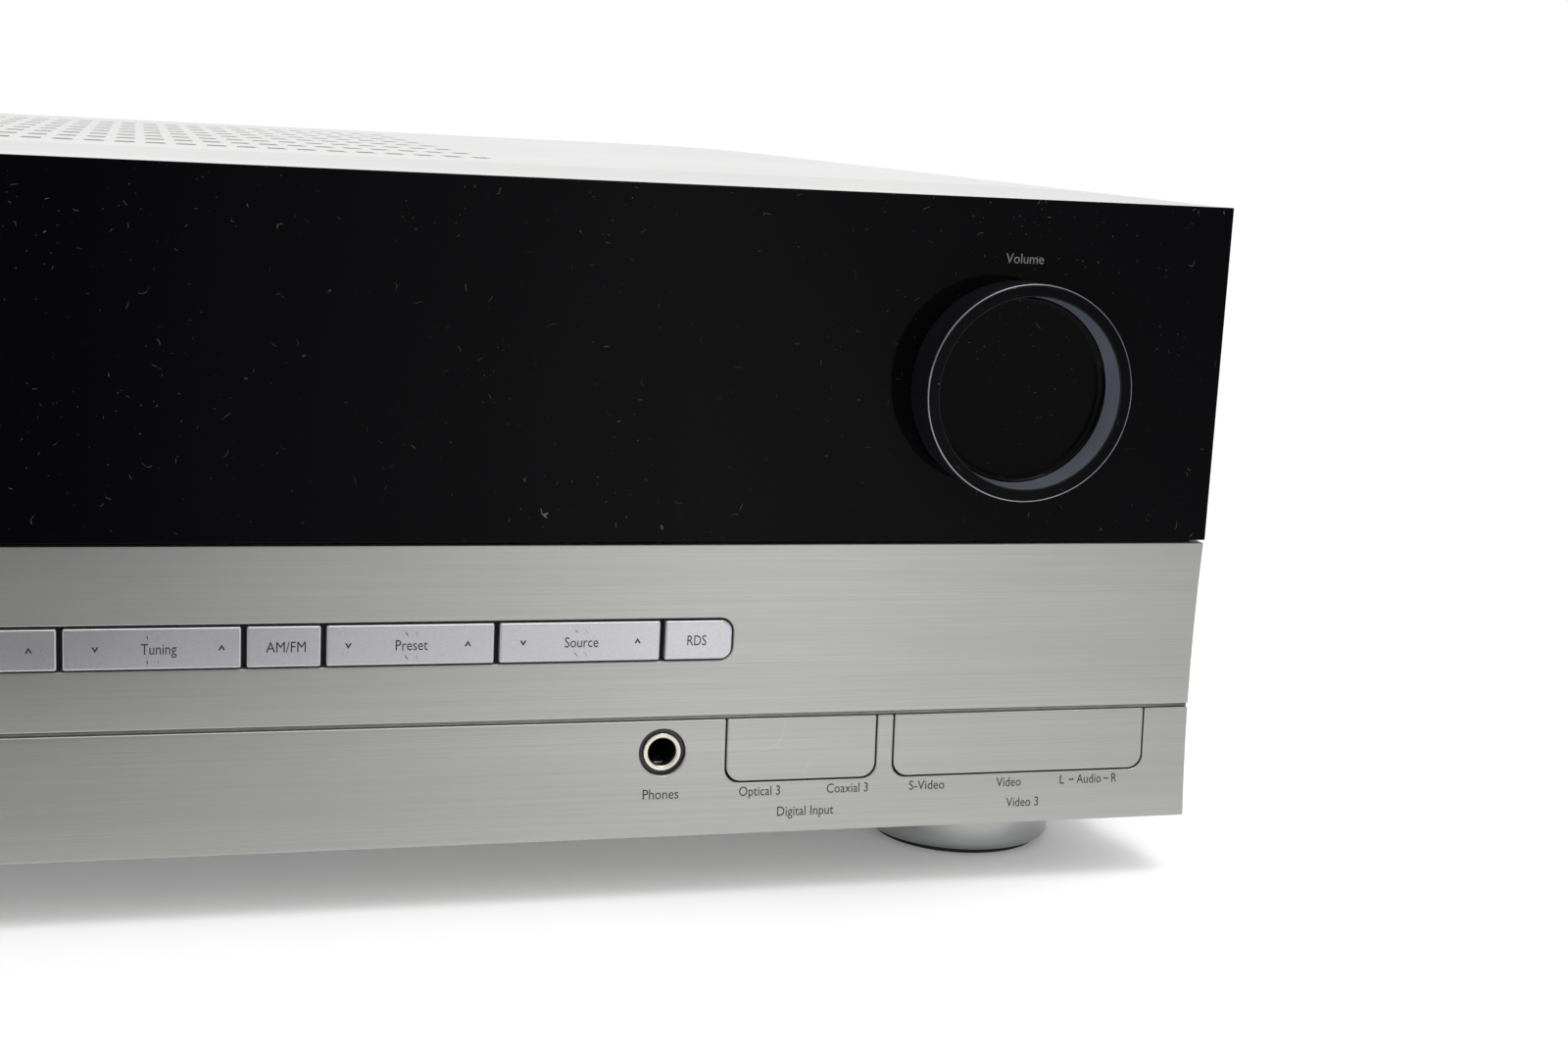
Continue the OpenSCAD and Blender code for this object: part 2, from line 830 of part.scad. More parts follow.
module screws() {
    foot_head = [3.9, 2];
    shank_r = 1.8;
    side_head = [3.6, 2];
    rear_head = [3, 1.8];
    color("#b8b9bb") {
        // Foot screws hold each foot to the pan
        at_feet() {
            translate([0, 0, pad_h + 1])
                cylinder(r = foot_head[0], h = foot_head[1]);
            translate([0, 0, pad_h + 1 + foot_head[1] - eps])
                cylinder(r = shank_r, h = foot_h - pad_h - 1 - foot_head[1]);
        }
        // Cover screws on both sides
        for (s = [-1, 1])
            for (t = [60, case_d / 2, case_d - 40])
                translate([s * shell_w, y_face + t, z_base + 20])
                    rotate([0, s * 90, 0])
                        cylinder(r = side_head[0], h = side_head[1]);
        // Rear panel screws
        for (x = [-shell_w + 9, -20, 20, shell_w - 9])
            for (z = [z_base + 8, z_top - 9])
                rod(x, case_d, case_d + rear_head[1], z, rear_head[0]);
        // Board screws
        for (p = deck_points)
            translate([p[0], y_face + p[1], deck_z + board_t])
                cylinder(r = screw_r, h = screw_h);
    }
}

module standoffs() {
    color("#b9a35a")
    for (p = deck_points)
        translate([p[0], y_face + p[1], z_base + sheet])
            cylinder(r = 3, h = deck_z - z_base - sheet);
}

// ---- Inside ----

module transformer_core() {
    low = z_base + sheet;
    color("#55595f")
    difference() {
        union() {
            block(core_x, core_t - stack_d / 2, core_t + stack_d / 2, low + core_h / 2, core_w, core_h);
            box(core_x - core_w / 2, core_x + core_w / 2, core_t - stack_d / 2 - trans_foot,
                core_t + stack_d / 2 + trans_foot, low, low + 2);
        }
        for (s = [-1, 1])
            block(core_x + s * (leg_w + window_w) / 2, core_t - stack_d, core_t + stack_d,
                low + core_h / 2, window_w, window_h);
    }
}

module transformer_coil() {
    mid = z_base + sheet + core_h / 2;
    color("#b5522e")
    difference() {
        block(core_x, core_t - stack_d / 2 - wind, core_t + stack_d / 2 + wind, mid,
            leg_w + 2 * wind, window_h - 1);
        block(core_x, core_t - stack_d / 2 - 0.2, core_t + stack_d / 2 + 0.2, mid, leg_w + 0.4, window_h + 2);
    }
}

module heat_sink() {
    fins = 24;
    fin_t = 3;
    fin_l = 32;
    plate_t = 5;
    pitch = (heat_x[1] - heat_x[0] - fin_t) / (fins - 1);
    color("#9b9da0")
    translate([0, y_face + heat_t, deck_z + board_t])
        linear_extrude(78)
            union() {
                translate([heat_x[0], 0])
                    square([heat_x[1] - heat_x[0], plate_t]);
                for (i = [0:fins - 1])
                    translate([heat_x[0] + i * pitch, plate_t - eps])
                        square([fin_t, fin_l]);
            }
}

module power_transistors() {
    color("#1a1a1d")
    for (i = [0:7]) {
        x = heat_x[0] + 20 + i * 24;
        block(x, heat_t - 4.8, heat_t, deck_z + board_t + 26, 16, 20);
        for (p = [-1, 0, 1])
            block(x + p * 5.4, heat_t - 3.2, heat_t - 2.2, deck_z + board_t + 8.2, 1, 16.3);
    }
}

module filter_capacitors() {
    color("#23262c")
    for (x = filter_x)
        translate([x, y_face + filter_t, deck_z + board_t])
            cylinder(r = filter_r, h = filter_h);
}

module main_boards() {
    color("#2f5b34") {
        // Power supply board
        box(-70, 68, 54, 176, deck_z, deck_z + board_t);
        // Amplifier board
        box(-36, 204, 180, case_d - 16, deck_z, deck_z + board_t);
        // Upright socket board
        box(col_x - 12, col_x + rear_cols * col_px - 3, case_d - sheet - jack_depth - board_t,
            case_d - sheet - jack_depth, deck_z + board_t, z_top - 8);
    }
    color("#2a2a30") {
        // Lead connector and the small capacitors of the supply
        box(lead_end_x, lead_end_x + 6, lead_t[0] - 3, lead_t[2] + 3,
            deck_z + board_t, deck_z + board_t + 14);
        for (x = [32, 46])
            for (t = [76, 96, 116, 136])
                translate([x, y_face + t, deck_z + board_t])
                    cylinder(r = 5, h = 16);
        // Shielded signal processor
        box(90, 160, 270, 310, deck_z + board_t, deck_z + board_t + 8);
    }
}

module tuner_can() {
    color("#b9bcbe")
    box(can_x - 20, can_x + 20, case_d - 60, case_d - sheet, am_z + 16, fm_z + 22);
}

module rear_rca_shells() {
    color("#c9a455")
    for (row = rear_rows)
        for (col = [0:rear_cols - 1])
            rca_shell(col_x + col * col_px, z_base + row, case_d - sheet, case_d + rca_l,
                case_d - sheet, case_d + collar_l);
}

module rear_rca_inserts() {
    color("#e6e3d8")
    for (row = rear_rows)
        for (col = [0:rear_cols - 1]) {
            x = col_x + col * col_px;
            tube(x, case_d - sheet, case_d + rca_l - 0.6, z_base + row, rca_r - shell_t, pin_r);
            tube(x, case_d, case_d + collar_l, z_base + row, rca_r + 1.8, root_r);
        }
}

module rear_jack_bodies() {
    inner = case_d - sheet - jack_depth;
    mid_x = col_x + (rear_cols - 1) * col_px / 2;
    lip = 1.5;
    well = 6;
    color("#18181b") {
        for (row = rear_rows)
            block(mid_x, inner, case_d - sheet, z_base + row, rear_cols * col_px - 2, 14);
        for (col = [0:3]) {
            x = col_x + col * col_px;
            difference() {
                union() {
                    block(x, inner, case_d - sheet, z_base + svideo_row, 13.6, 14);
                    rod(x, case_d - sheet - eps, case_d + lip, z_base + svideo_row, svideo_r);
                }
                rod(x, case_d - well, case_d + 2, z_base + svideo_row, svideo_bore);
            }
        }
        for (col = [4:5]) {
            x = col_x + col * col_px;
            difference() {
                block(x, inner, case_d + lip, z_base + svideo_row, optical_w, optical_w);
                block(x, case_d - well, case_d + 2, z_base + svideo_row, optical_hole, optical_hole);
            }
        }
    }
}

module fm_socket() {
    color("#c0c0bc")
    difference() {
        union() {
            rod(can_x, case_d - sheet, case_d + 11, fm_z, 4.75);
            translate([can_x, y_face + case_d + 2.5, fm_z])
                rotate([90, 0, 0])
                    cylinder(r = 7, h = 2.5, $fn = 6);
        }
        rod(can_x, case_d + 3, case_d + 12, fm_z, 0.9);
    }
}

module am_terminal() {
    wire_r = 1.6;
    color("#1c1c1f")
    difference() {
        union() {
            block(can_x, case_d - 12, case_d + 1, am_z, 19.6, 25.6);
            block(can_x, case_d, case_d + 2, am_z, 23, 29);
        }
        for (s = [-1, 1]) {
            // Well of the lever and the wire hole above it
            block(can_x + s * lever_dx, case_d - 7, case_d + 3, lever_z + 3, 7.4, 13);
            rod(can_x + s * lever_dx, case_d - 8, case_d + 3, am_z + 8.5, wire_r);
            // Pivot hole
            translate([can_x + s * lever_dx, y_face + case_d - 2, lever_z])
                rotate([0, 90, 0])
                    cylinder(r = lever_pin_r + running, h = lever_pin_l + 0.4, center = true);
        }
    }
}

// A spring lever: a finger plate on a pivot pin, pressed in at its top
module am_lever(side) {
    x = can_x + side * lever_dx;
    finger_w = 6.8;
    color(side < 0 ? "#b33a2c" : "#2b2b2f")
    translate([x, y_face + case_d - 2, lever_z]) {
        rotate([0, 90, 0])
            cylinder(r = lever_pin_r, h = lever_pin_l, center = true);
        rotate([-20, 0, 0])
            translate([-finger_w / 2, -1, -lever_pin_r])
                cube([finger_w, 2.6, 9.5]);
    }
}

module am_lever_left() {
    am_lever(-1);
}

module am_lever_right() {
    am_lever(1);
}

module speaker_block() {
    mid_x = post_x + 1.5 * post_px;
    mid_z = z_base + post_z + post_pz / 2;
    color("#16161a")
    difference() {
        union() {
            block(mid_x, case_d - 12, case_d + eps, mid_z, 4 * post_px - 9, post_pz + 13);
            block(mid_x, case_d, case_d + speaker_plate, mid_z, 4 * post_px + 6, post_pz + 24);
            for (i = [0:7])
                rod(cap_x(i), case_d + speaker_plate - eps, case_d + speaker_plate + collar_t,
                    cap_z(i), cap_r);
        }
        for (i = [0:7])
            rod(cap_x(i), case_d - 13, case_d + rear_out, cap_z(i), stud_r);
    }
}

function cap_x(i) = post_x + floor(i / 2) * post_px;
function cap_z(i) = z_base + post_z + (i % 2 == 0 ? post_pz : 0);

module speaker_studs() {
    color("#c9a455")
    for (i = [0:7])
        difference() {
            rod(cap_x(i), case_d - 15, case_d + rear_out - cap_end - 0.2, cap_z(i), stud_r);
            rod(cap_x(i), case_d + speaker_plate, case_d + rear_out, cap_z(i), plug_r);
        }
}

// A turning cap on its stud, with the plug hole in its end
module post_cap(i) {
    root = case_d + speaker_plate + collar_t + cap_gap;
    tip = case_d + rear_out;
    color(i % 2 == 0 ? "#a8221c" : "#1b1b1e")
    difference() {
        rod(cap_x(i), root, tip, cap_z(i), cap_r);
        rod(cap_x(i), root - 1, tip - cap_end, cap_z(i), stud_r + running);
        rod(cap_x(i), root, tip + 1, cap_z(i), plug_r + 0.5);
    }
}

module cap_a_left_red() {
    post_cap(0);
}

module cap_a_left_black() {
    post_cap(1);
}

module cap_a_right_red() {
    post_cap(2);
}

module cap_a_right_black() {
    post_cap(3);
}

module cap_b_left_red() {
    post_cap(4);
}

module cap_b_left_black() {
    post_cap(5);
}

module cap_b_right_red() {
    post_cap(6);
}

module cap_b_right_black() {
    post_cap(7);
}

module mains_inlet() {
    color("#161618")
    difference() {
        union() {
            block(inlet_x, case_d - 20, case_d + eps, inlet_z, 28.4, 21.4);
            block(inlet_x, case_d, case_d + 2.5, inlet_z, 48, 25);
        }
        block(inlet_x, case_d - 16, case_d + 3, inlet_z, 24.8, 16.6);
    }
}

module inlet_pins() {
    color("#c8c6bf") {
        for (s = [-1, 1])
            block(inlet_x + s * 7, case_d - 16, case_d, inlet_z - 1.5, 2, 4);
        block(inlet_x, case_d - 16, case_d, inlet_z + 3.5, 2, 4);
    }
}

// Leads of the transformer and the mains, and the flat cable from the front boards to the amplifier board
module inner_cables() {
    lead_z = z_base + sheet + core_h / 2 - window_h / 2 + 4;
    ribbon_z = key_z - 6;
    color("#2c2c30") {
        rod(inlet_x - 10, 32, case_d - 20, inlet_z, mains_lead_r);
        for (t = lead_t)
            translate([core_x + leg_w / 2 + wind, y_face + t, lead_z])
                rotate([0, 90, 0])
                    cylinder(r = lead_r, h = lead_end_x - core_x - leg_w / 2 - wind);
    }
    color("#8d8f95") {
        box(ribbon_x[0], ribbon_x[1], key_board_t + board_t, ribbon_end, ribbon_z, ribbon_z + ribbon_t);
        box(ribbon_x[0], ribbon_x[1], ribbon_end - ribbon_t, ribbon_end, deck_z + board_t, ribbon_z + eps);
    }
}

front_frame();
upper_panel();
upper_band();
lower_band();
key_surround();
key_mode();
key_tuning();
key_band();
key_preset();
key_source();
key_rds();
power_button();
power_switch();
volume_knob();
encoder_shaft();
encoder_body();
display_tube();
front_boards();
key_switches();
digital_cover();
av_cover();
phones_ring();
phones_body();
front_rca_shells();
front_rca_inserts();
front_jack_bodies();
base_pan();
rear_panel();
top_cover();
feet();
foot_pads();
screws();
standoffs();
transformer_core();
transformer_coil();
heat_sink();
power_transistors();
filter_capacitors();
main_boards();
tuner_can();
rear_rca_shells();
rear_rca_inserts();
rear_jack_bodies();
fm_socket();
am_terminal();
am_lever_left();
am_lever_right();
speaker_block();
speaker_studs();
cap_a_left_red();
cap_a_left_black();
cap_a_right_red();
cap_a_right_black();
cap_b_left_red();
cap_b_left_black();
cap_b_right_red();
cap_b_right_black();
mains_inlet();
inlet_pins();
inner_cables();
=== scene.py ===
import math

import bmesh
import bpy
import numpy as np
from mathutils import Matrix, Vector


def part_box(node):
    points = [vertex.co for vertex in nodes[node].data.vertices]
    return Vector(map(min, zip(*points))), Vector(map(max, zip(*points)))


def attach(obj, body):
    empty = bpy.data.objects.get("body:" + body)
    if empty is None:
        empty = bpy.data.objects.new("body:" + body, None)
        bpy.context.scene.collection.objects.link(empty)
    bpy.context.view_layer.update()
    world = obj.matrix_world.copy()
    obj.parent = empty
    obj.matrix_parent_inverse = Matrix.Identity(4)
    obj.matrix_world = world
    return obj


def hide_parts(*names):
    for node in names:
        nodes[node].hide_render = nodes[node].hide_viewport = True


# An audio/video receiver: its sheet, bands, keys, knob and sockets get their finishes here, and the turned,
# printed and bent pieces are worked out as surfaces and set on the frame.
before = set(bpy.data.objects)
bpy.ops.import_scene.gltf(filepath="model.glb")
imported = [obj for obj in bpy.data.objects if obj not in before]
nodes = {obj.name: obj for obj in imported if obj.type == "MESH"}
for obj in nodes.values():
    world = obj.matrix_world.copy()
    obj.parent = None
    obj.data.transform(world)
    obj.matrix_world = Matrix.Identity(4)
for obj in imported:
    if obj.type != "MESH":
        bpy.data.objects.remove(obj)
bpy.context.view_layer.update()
MM = 0.001
scene = bpy.context.scene


# ---- Finishes ----

class Finish:
    """One finish being mixed: a node tree with its shader, and short ways to add nodes to it."""

    def __init__(self, name, colour, roughness, metallic=0.0, **sockets):
        self.material = bpy.data.materials.new(name)
        self.material.use_nodes = True
        self.tree = self.material.node_tree
        self.shader = self.tree.nodes["Principled BSDF"]
        self.material.diffuse_color = (*colour, 1.0)
        for socket, value in {
            "Base Color": (*colour, 1.0), "Roughness": roughness, "Metallic": metallic, **sockets
        }.items():
            self.shader.inputs[socket].default_value = value
        self.place = self.add("ShaderNodeTexCoord").outputs["Object"]
        self.normal = None

    def add(self, kind, wires=None, **settings):
        """Adds a node; wires maps each input to a value or to another node's output."""
        node = self.tree.nodes.new(kind)
        for key, value in settings.items():
            setattr(node, key, value)
        for key, value in (wires or {}).items():
            if isinstance(value, bpy.types.NodeSocket):
                self.tree.links.new(value, node.inputs[key])
            else:
                node.inputs[key].default_value = value
        return node

    def moved(self, stretch=(1, 1, 1), shift=(0, 0, 0)):
        """Object coordinates, stretched and shifted."""
        wires = {"Vector": self.place, "Scale": stretch, "Location": shift}
        return self.add("ShaderNodeMapping", wires).outputs["Vector"]

    def noise(self, scale, detail=2.0, rough=0.5, **move):
        """Fractal noise with features of about 1 / scale metres."""
        wires = {"Vector": self.moved(**move), "Scale": scale, "Detail": detail, "Roughness": rough}
        return self.add("ShaderNodeTexNoise", wires).outputs["Fac"]

    def cells(self, scale):
        """Distance to the nearest of many points scattered about 1 / scale metres apart."""
        wires = {"Vector": self.place, "Scale": scale}
        return self.add("ShaderNodeTexVoronoi", wires).outputs["Distance"]

    def lines(self, scale, axis):
        """A sine wave along one axis."""
        wires = {"Vector": self.place, "Scale": scale, "Distortion": 0.0}
        return self.add("ShaderNodeTexWave", wires, bands_direction=axis).outputs["Fac"]

    def spread(self, value, low, high, to_low=0.0, to_high=1.0):
        """Maps low..high to to_low..to_high and holds it there outside."""
        wires = {"Value": value, "From Min": low, "From Max": high, "To Min": to_low, "To Max": to_high}
        return self.add("ShaderNodeMapRange", wires).outputs["Result"]

    def combine(self, a, b, how="ADD"):
        """One sum, product or other operation on two values."""
        return self.add("ShaderNodeMath", {0: a, 1: b}, operation=how).outputs["Value"]

    def axis(self, which):
        """One of the object coordinates x, y and z."""
        return self.add("ShaderNodeSeparateXYZ", {"Vector": self.place}).outputs[which]

    def blend(self, share, a, b):
        """Colour a where share is 0 and b where it is 1."""
        mix = self.add("ShaderNodeMix", data_type="RGBA")
        for socket, value in ((mix.inputs["Factor"], share), (mix.inputs[6], a), (mix.inputs[7], b)):
            if isinstance(value, bpy.types.NodeSocket):
                self.tree.links.new(value, socket)
            else:
                socket.default_value = (*value, 1.0) if isinstance(value, tuple) else value
        return mix.outputs[2]

    def colour(self, value):
        """Sets the colour from a node's output."""
        self.tree.links.new(value, self.shader.inputs["Base Color"])

    def roughness(self, value):
        """Sets the roughness from a node's output."""
        self.tree.links.new(value, self.shader.inputs["Roughness"])

    def relief(self, value, depth, strength=1.0):
        """Raises the surface by value times depth in metres, on top of the reliefs given before."""
        wires = {"Height": value, "Distance": depth, "Strength": strength}
        if self.normal is not None:
            wires["Normal"] = self.normal
        self.normal = self.add("ShaderNodeBump", wires).outputs["Normal"]
        self.tree.links.new(self.normal, self.shader.inputs["Normal"])


def moulded(name, colour, roughness, grain=2500.0, depth=0.00002, **sockets):
    """Moulded plastic: fine spark-eroded grain, slow shine patches, and a slightly uneven colour."""
    f = Finish(name, colour, roughness, **sockets)
    fine = f.noise(grain, 3.0)
    slow = f.noise(60.0, 3.0)
    lighter = tuple(min(1.0, c * 1.25 + 0.002) for c in colour)
    f.colour(f.blend(f.spread(slow, 0.35, 0.7), colour, lighter))
    f.roughness(f.spread(slow, 0.3, 0.7, roughness - 0.05, roughness + 0.08))
    f.relief(fine, depth)
    return f.material


def plated(name, colour, roughness, wear=0.12):
    """Plated or bare metal: faint handling marks, tarnish patches and turning marks too fine to count."""
    f = Finish(name, colour, roughness, 1.0)
    patch = f.noise(180.0, 4.0)
    darker = tuple(c * 0.8 for c in colour)
    f.colour(f.blend(f.spread(patch, 0.35, 0.75), colour, darker))
    f.roughness(f.spread(f.noise(900.0, 3.0), 0.3, 0.7, max(0.03, roughness - 0.03), roughness + wear))
    f.relief(f.noise(4000.0, 2.0), 0.000004)
    return f.material


def sheet_paint(name, colour, roughness, texture=1600.0, depth=0.00004, metallic=0.0, uneven=0.06):
    """Baked paint on sheet: a fine pebbled texture, with slow cloudiness."""
    f = Finish(name, colour, roughness, metallic)
    cloud = f.noise(14.0, 4.0)
    darker = tuple(c * (1 - uneven) for c in colour)
    f.colour(f.blend(f.spread(cloud, 0.3, 0.7), colour, darker))
    pebble = f.noise(texture, 2.0)
    f.roughness(f.spread(pebble, 0.3, 0.7, roughness - 0.06, roughness + 0.06))
    f.relief(pebble, depth)
    return f.material


def brushed_silver():
    """Brushed silver: hairlines along the width, at two widths, slow cloudiness and a few faint scratches."""
    f = Finish("brushed_silver", (0.47, 0.475, 0.45), 0.36, 0.82)
    hair = f.noise(1.0, 3.0, stretch=(14.0, 60.0, 4200.0))
    strand = f.noise(1.0, 2.0, stretch=(7.0, 40.0, 1700.0), shift=(3.0, 1.0, 7.0))
    brush = f.combine(f.combine(hair, 0.75, "MULTIPLY"), f.combine(strand, 0.25, "MULTIPLY"))
    cloud = f.noise(9.0, 3.0)
    tone = f.blend(f.spread(brush, 0.3, 0.7), (0.425, 0.429, 0.408), (0.495, 0.5, 0.474))
    tone = f.blend(f.spread(cloud, 0.3, 0.75, 0.0, 0.12), tone, (0.36, 0.37, 0.36))
    # A scratch is the thin line where a slow noise passes its middle value, kept only where another is high
    arc = f.combine(f.noise(34.0, 0.0, shift=(0.31, 0.2, 0.4)), 0.5, "SUBTRACT")
    arc = f.spread(f.combine(arc, 0.0, "ABSOLUTE"), 0.0006, 0.0024, 1.0, 0.0)
    kept = f.spread(f.noise(22.0, 0.0, shift=(5.2, 0.7, 1.1)), 0.72, 0.76)
    scratch = f.combine(arc, kept, "MULTIPLY")
    f.colour(f.blend(f.combine(scratch, 0.2, "MULTIPLY"), tone, (0.72, 0.71, 0.68)))
    f.roughness(f.spread(brush, 0.3, 0.7, 0.42, 0.32))
    f.relief(brush, 0.000008)
    return f.material


def key_silver():
    """Silver key paint: metal flake under a satin coat, cooler than the bands."""
    f = Finish("key_silver", (0.56, 0.555, 0.59), 0.3, 0.75)
    flake = f.noise(5200.0, 1.0)
    slow = f.noise(40.0, 3.0)
    tone = f.blend(f.spread(flake, 0.3, 0.7), (0.51, 0.505, 0.54), (0.62, 0.615, 0.65))
    f.colour(f.blend(f.spread(slow, 0.4, 0.8, 0.0, 0.2), tone, (0.5, 0.5, 0.52)))
    f.roughness(f.spread(slow, 0.3, 0.7, 0.27, 0.36))
    f.relief(flake, 0.000003)
    return f.material


def gloss_black(name, roughness=0.04, level=0.055, dust=1.0):
    """Polished black acrylic with lint, dust specks in drifts, and hairline scratches."""
    f = Finish(name, (0.002, 0.002, 0.0026), roughness, **{"Specular IOR Level": level})
    drift = f.spread(f.noise(26.0, 3.0, shift=(0.4, 0.0, 0.9)), 0.46, 0.64)
    speck = f.spread(f.cells(700.0), 0.0, 0.12, 1.0, 0.0)
    some = f.spread(f.noise(520.0, 0.0, shift=(2.0, 0.0, 5.0)), 0.56, 0.62)
    specks = f.combine(f.combine(speck, some, "MULTIPLY"), drift, "MULTIPLY")
    curl = f.combine(f.noise(210.0, 1.0, shift=(0.0, 0.0, 3.3)), 0.5, "SUBTRACT")
    curl = f.spread(f.combine(curl, 0.0, "ABSOLUTE"), 0.001, 0.006, 1.0, 0.0)
    bits = f.spread(f.noise(380.0, 1.0, shift=(7.7, 0.0, 0.0)), 0.66, 0.7)
    lint = f.combine(f.combine(curl, bits, "MULTIPLY"), f.spread(drift, 0.0, 1.0, 0.25, 1.0), "MULTIPLY")
    dirt = f.combine(f.combine(specks, lint, "MAXIMUM"), dust, "MULTIPLY")
    f.colour(f.blend(f.combine(dirt, 0.5, "MULTIPLY"), (0.002, 0.002, 0.0026), (0.3, 0.29, 0.27)))
    film = f.noise(35.0, 4.0)
    f.roughness(f.combine(f.spread(film, 0.4, 0.8, roughness, roughness + 0.05), dirt, "ADD"))
    f.relief(f.noise(24.0, 1.0), 0.00002, 0.3)
    return f.material


def board_green():
    """Solder mask: green lacquer over copper runs that follow a grid, with bright pads."""
    f = Finish("board_green", (0.02, 0.09, 0.035), 0.35)
    across = f.spread(f.lines(90.0, "X"), 0.42, 0.5)
    along = f.spread(f.lines(70.0, "Y"), 0.42, 0.5)
    pick = f.spread(f.noise(55.0, 0.0), 0.48, 0.5)
    other = f.combine(1.0, pick, "SUBTRACT")
    copper = f.combine(f.combine(across, pick, "MULTIPLY"), f.combine(along, other, "MULTIPLY"))
    pads = f.spread(f.cells(230.0), 0.1, 0.13, 1.0, 0.0)
    mask = f.blend(copper, (0.012, 0.06, 0.022), (0.03, 0.13, 0.05))
    f.colour(f.blend(pads, mask, (0.55, 0.55, 0.52)))
    f.relief(copper, 0.00003)
    return f.material


def laminated():
    """Stacked and varnished iron sheets: fine grooves across the stack and a mottled varnish."""
    f = Finish("laminated_iron", (0.09, 0.095, 0.11), 0.45, 0.6)
    stack = f.lines(1000.0, "Y")
    mottle = f.noise(120.0, 4.0)
    f.colour(f.blend(f.spread(mottle, 0.35, 0.7), (0.06, 0.065, 0.08), (0.16, 0.15, 0.14)))
    f.roughness(f.spread(mottle, 0.3, 0.7, 0.35, 0.6))
    f.relief(stack, 0.00012)
    return f.material


def wound():
    """Enamelled copper under clear tape: close turns up the coil and a soft tape shine."""
    f = Finish("wound_copper", (0.42, 0.13, 0.04), 0.3, 0.5, **{"Coat Weight": 0.4})
    turns = f.lines(620.0, "Z")
    patch = f.noise(70.0, 3.0)
    f.colour(f.blend(f.spread(patch, 0.3, 0.7), (0.35, 0.1, 0.03), (0.55, 0.2, 0.07)))
    f.relief(turns, 0.00025)
    return f.material


def zinc():
    """Zinc plated sheet: pale spangle with a faint yellow passivation."""
    f = Finish("zinc_sheet", (0.55, 0.56, 0.56), 0.36, 0.9)
    spangle = f.cells(160.0)
    stain = f.noise(18.0, 4.0)
    tone = f.blend(f.spread(spangle, 0.1, 0.7), (0.5, 0.51, 0.52), (0.62, 0.63, 0.63))
    f.colour(f.blend(f.spread(stain, 0.45, 0.8, 0.0, 0.35), tone, (0.55, 0.52, 0.42)))
    f.roughness(f.spread(spangle, 0.1, 0.7, 0.3, 0.42))
    f.relief(f.noise(900.0, 2.0), 0.00001)
    return f.material


def foot_silver():
    """Metallised foot: turned rings round the side, and painted shade that darkens it low down near the
    floor, in uneven patches.
    """
    f = Finish("foot_silver", (0.5, 0.51, 0.51), 0.24, 0.95)
    rings = f.lines(1100.0, "Z")
    scuff = f.noise(260.0, 4.0)
    # Painted shade: the colour turns darker within 3.5 mm of the floor, broken up into patches by noise
    low = f.spread(f.axis("Z"), 0.001, 0.0035, 1.0, 0.0)
    painted_low_shade = f.combine(f.spread(scuff, 0.3, 0.8, 0.3, 0.8), low, "MULTIPLY")
    f.colour(f.blend(painted_low_shade, (0.42, 0.43, 0.435), (0.2, 0.2, 0.22)))
    f.roughness(f.spread(scuff, 0.3, 0.7, 0.18, 0.22))
    f.relief(rings, 0.000006)
    return f.material


def ink(name, colour):
    """Screen-printed ink: matt, with slightly ragged density."""
    f = Finish(name, colour, 0.6)
    thin = tuple(min(1.0, c * 1.5 + 0.01) for c in colour)
    f.colour(f.blend(f.spread(f.noise(3000.0, 2.0), 0.45, 0.8), colour, thin))
    f.relief(f.noise(6000.0, 1.0), 0.000004)
    return f.material


SILVER = brushed_silver()
KEY = key_silver()
PANEL = gloss_black("gloss_black")
KNOB_GLOSS = gloss_black("knob_gloss", 0.06, 0.06, 0.8)
KNOB_EDGE = plated("knob_edge", (0.29, 0.3, 0.33), 0.16, 0.06)
# Painted reflection: the dish's inner wall is a grey much lighter than the black knob, standing in for the
# bright crescent that it reflects
KNOB_WALL_PAINTED_SHEEN = moulded("knob_wall_painted_sheen", (0.085, 0.095, 0.12), 0.4, 3000.0, 0.000004)
KNOB_SIDE = moulded("knob_satin", (0.006, 0.006, 0.008), 0.3, 3000.0, 0.000008,
                    **{"Specular IOR Level": 0.15})
MOULDING = moulded("black_moulding", (0.012, 0.012, 0.015), 0.5)
PARTS = moulded("black_parts", (0.016, 0.016, 0.018), 0.42)
RED = moulded("red_parts", (0.42, 0.018, 0.014), 0.3, 1800.0, 0.00001)
COVER = sheet_paint("cover_paint", (0.74, 0.745, 0.735), 0.34, 2200.0, 0.000014, 0.25)
REAR = sheet_paint("rear_paint", (0.022, 0.023, 0.026), 0.5, 1500.0, 0.00004)
NICKEL = plated("nickel", (0.78, 0.74, 0.64), 0.2)
STEEL = plated("bright_steel", (0.62, 0.62, 0.61), 0.22)
GOLD = plated("gold_plate", (0.86, 0.62, 0.26), 0.16)
GROOVE = plated("groove_grey", (0.27, 0.275, 0.28), 0.45)
GUNMETAL = plated("gunmetal", (0.05, 0.053, 0.062), 0.25)
TUBE_GLASS = moulded("tube_glass", (0.03, 0.05, 0.05), 0.06, 400.0, 0.000002)
ZINC = zinc()
FOOT = foot_silver()
PAD = moulded("pad_rubber", (0.012, 0.012, 0.013), 0.8, 1500.0, 0.00006)
IRON = laminated()
COIL = wound()
HEAT = plated("mill_aluminium", (0.6, 0.61, 0.62), 0.38, 0.2)
SLEEVE = moulded("can_sleeve", (0.018, 0.024, 0.05), 0.3, 500.0, 0.000006)
BOARD = board_green()
DARK_INK = ink("dark_ink", (0.01, 0.012, 0.02))
GREY_INK = ink("grey_ink", (0.16, 0.165, 0.175))
WHITE_INK = ink("white_ink", (0.6, 0.6, 0.58))
YELLOW = moulded("yellow_insert", (0.78, 0.56, 0.03), 0.35)
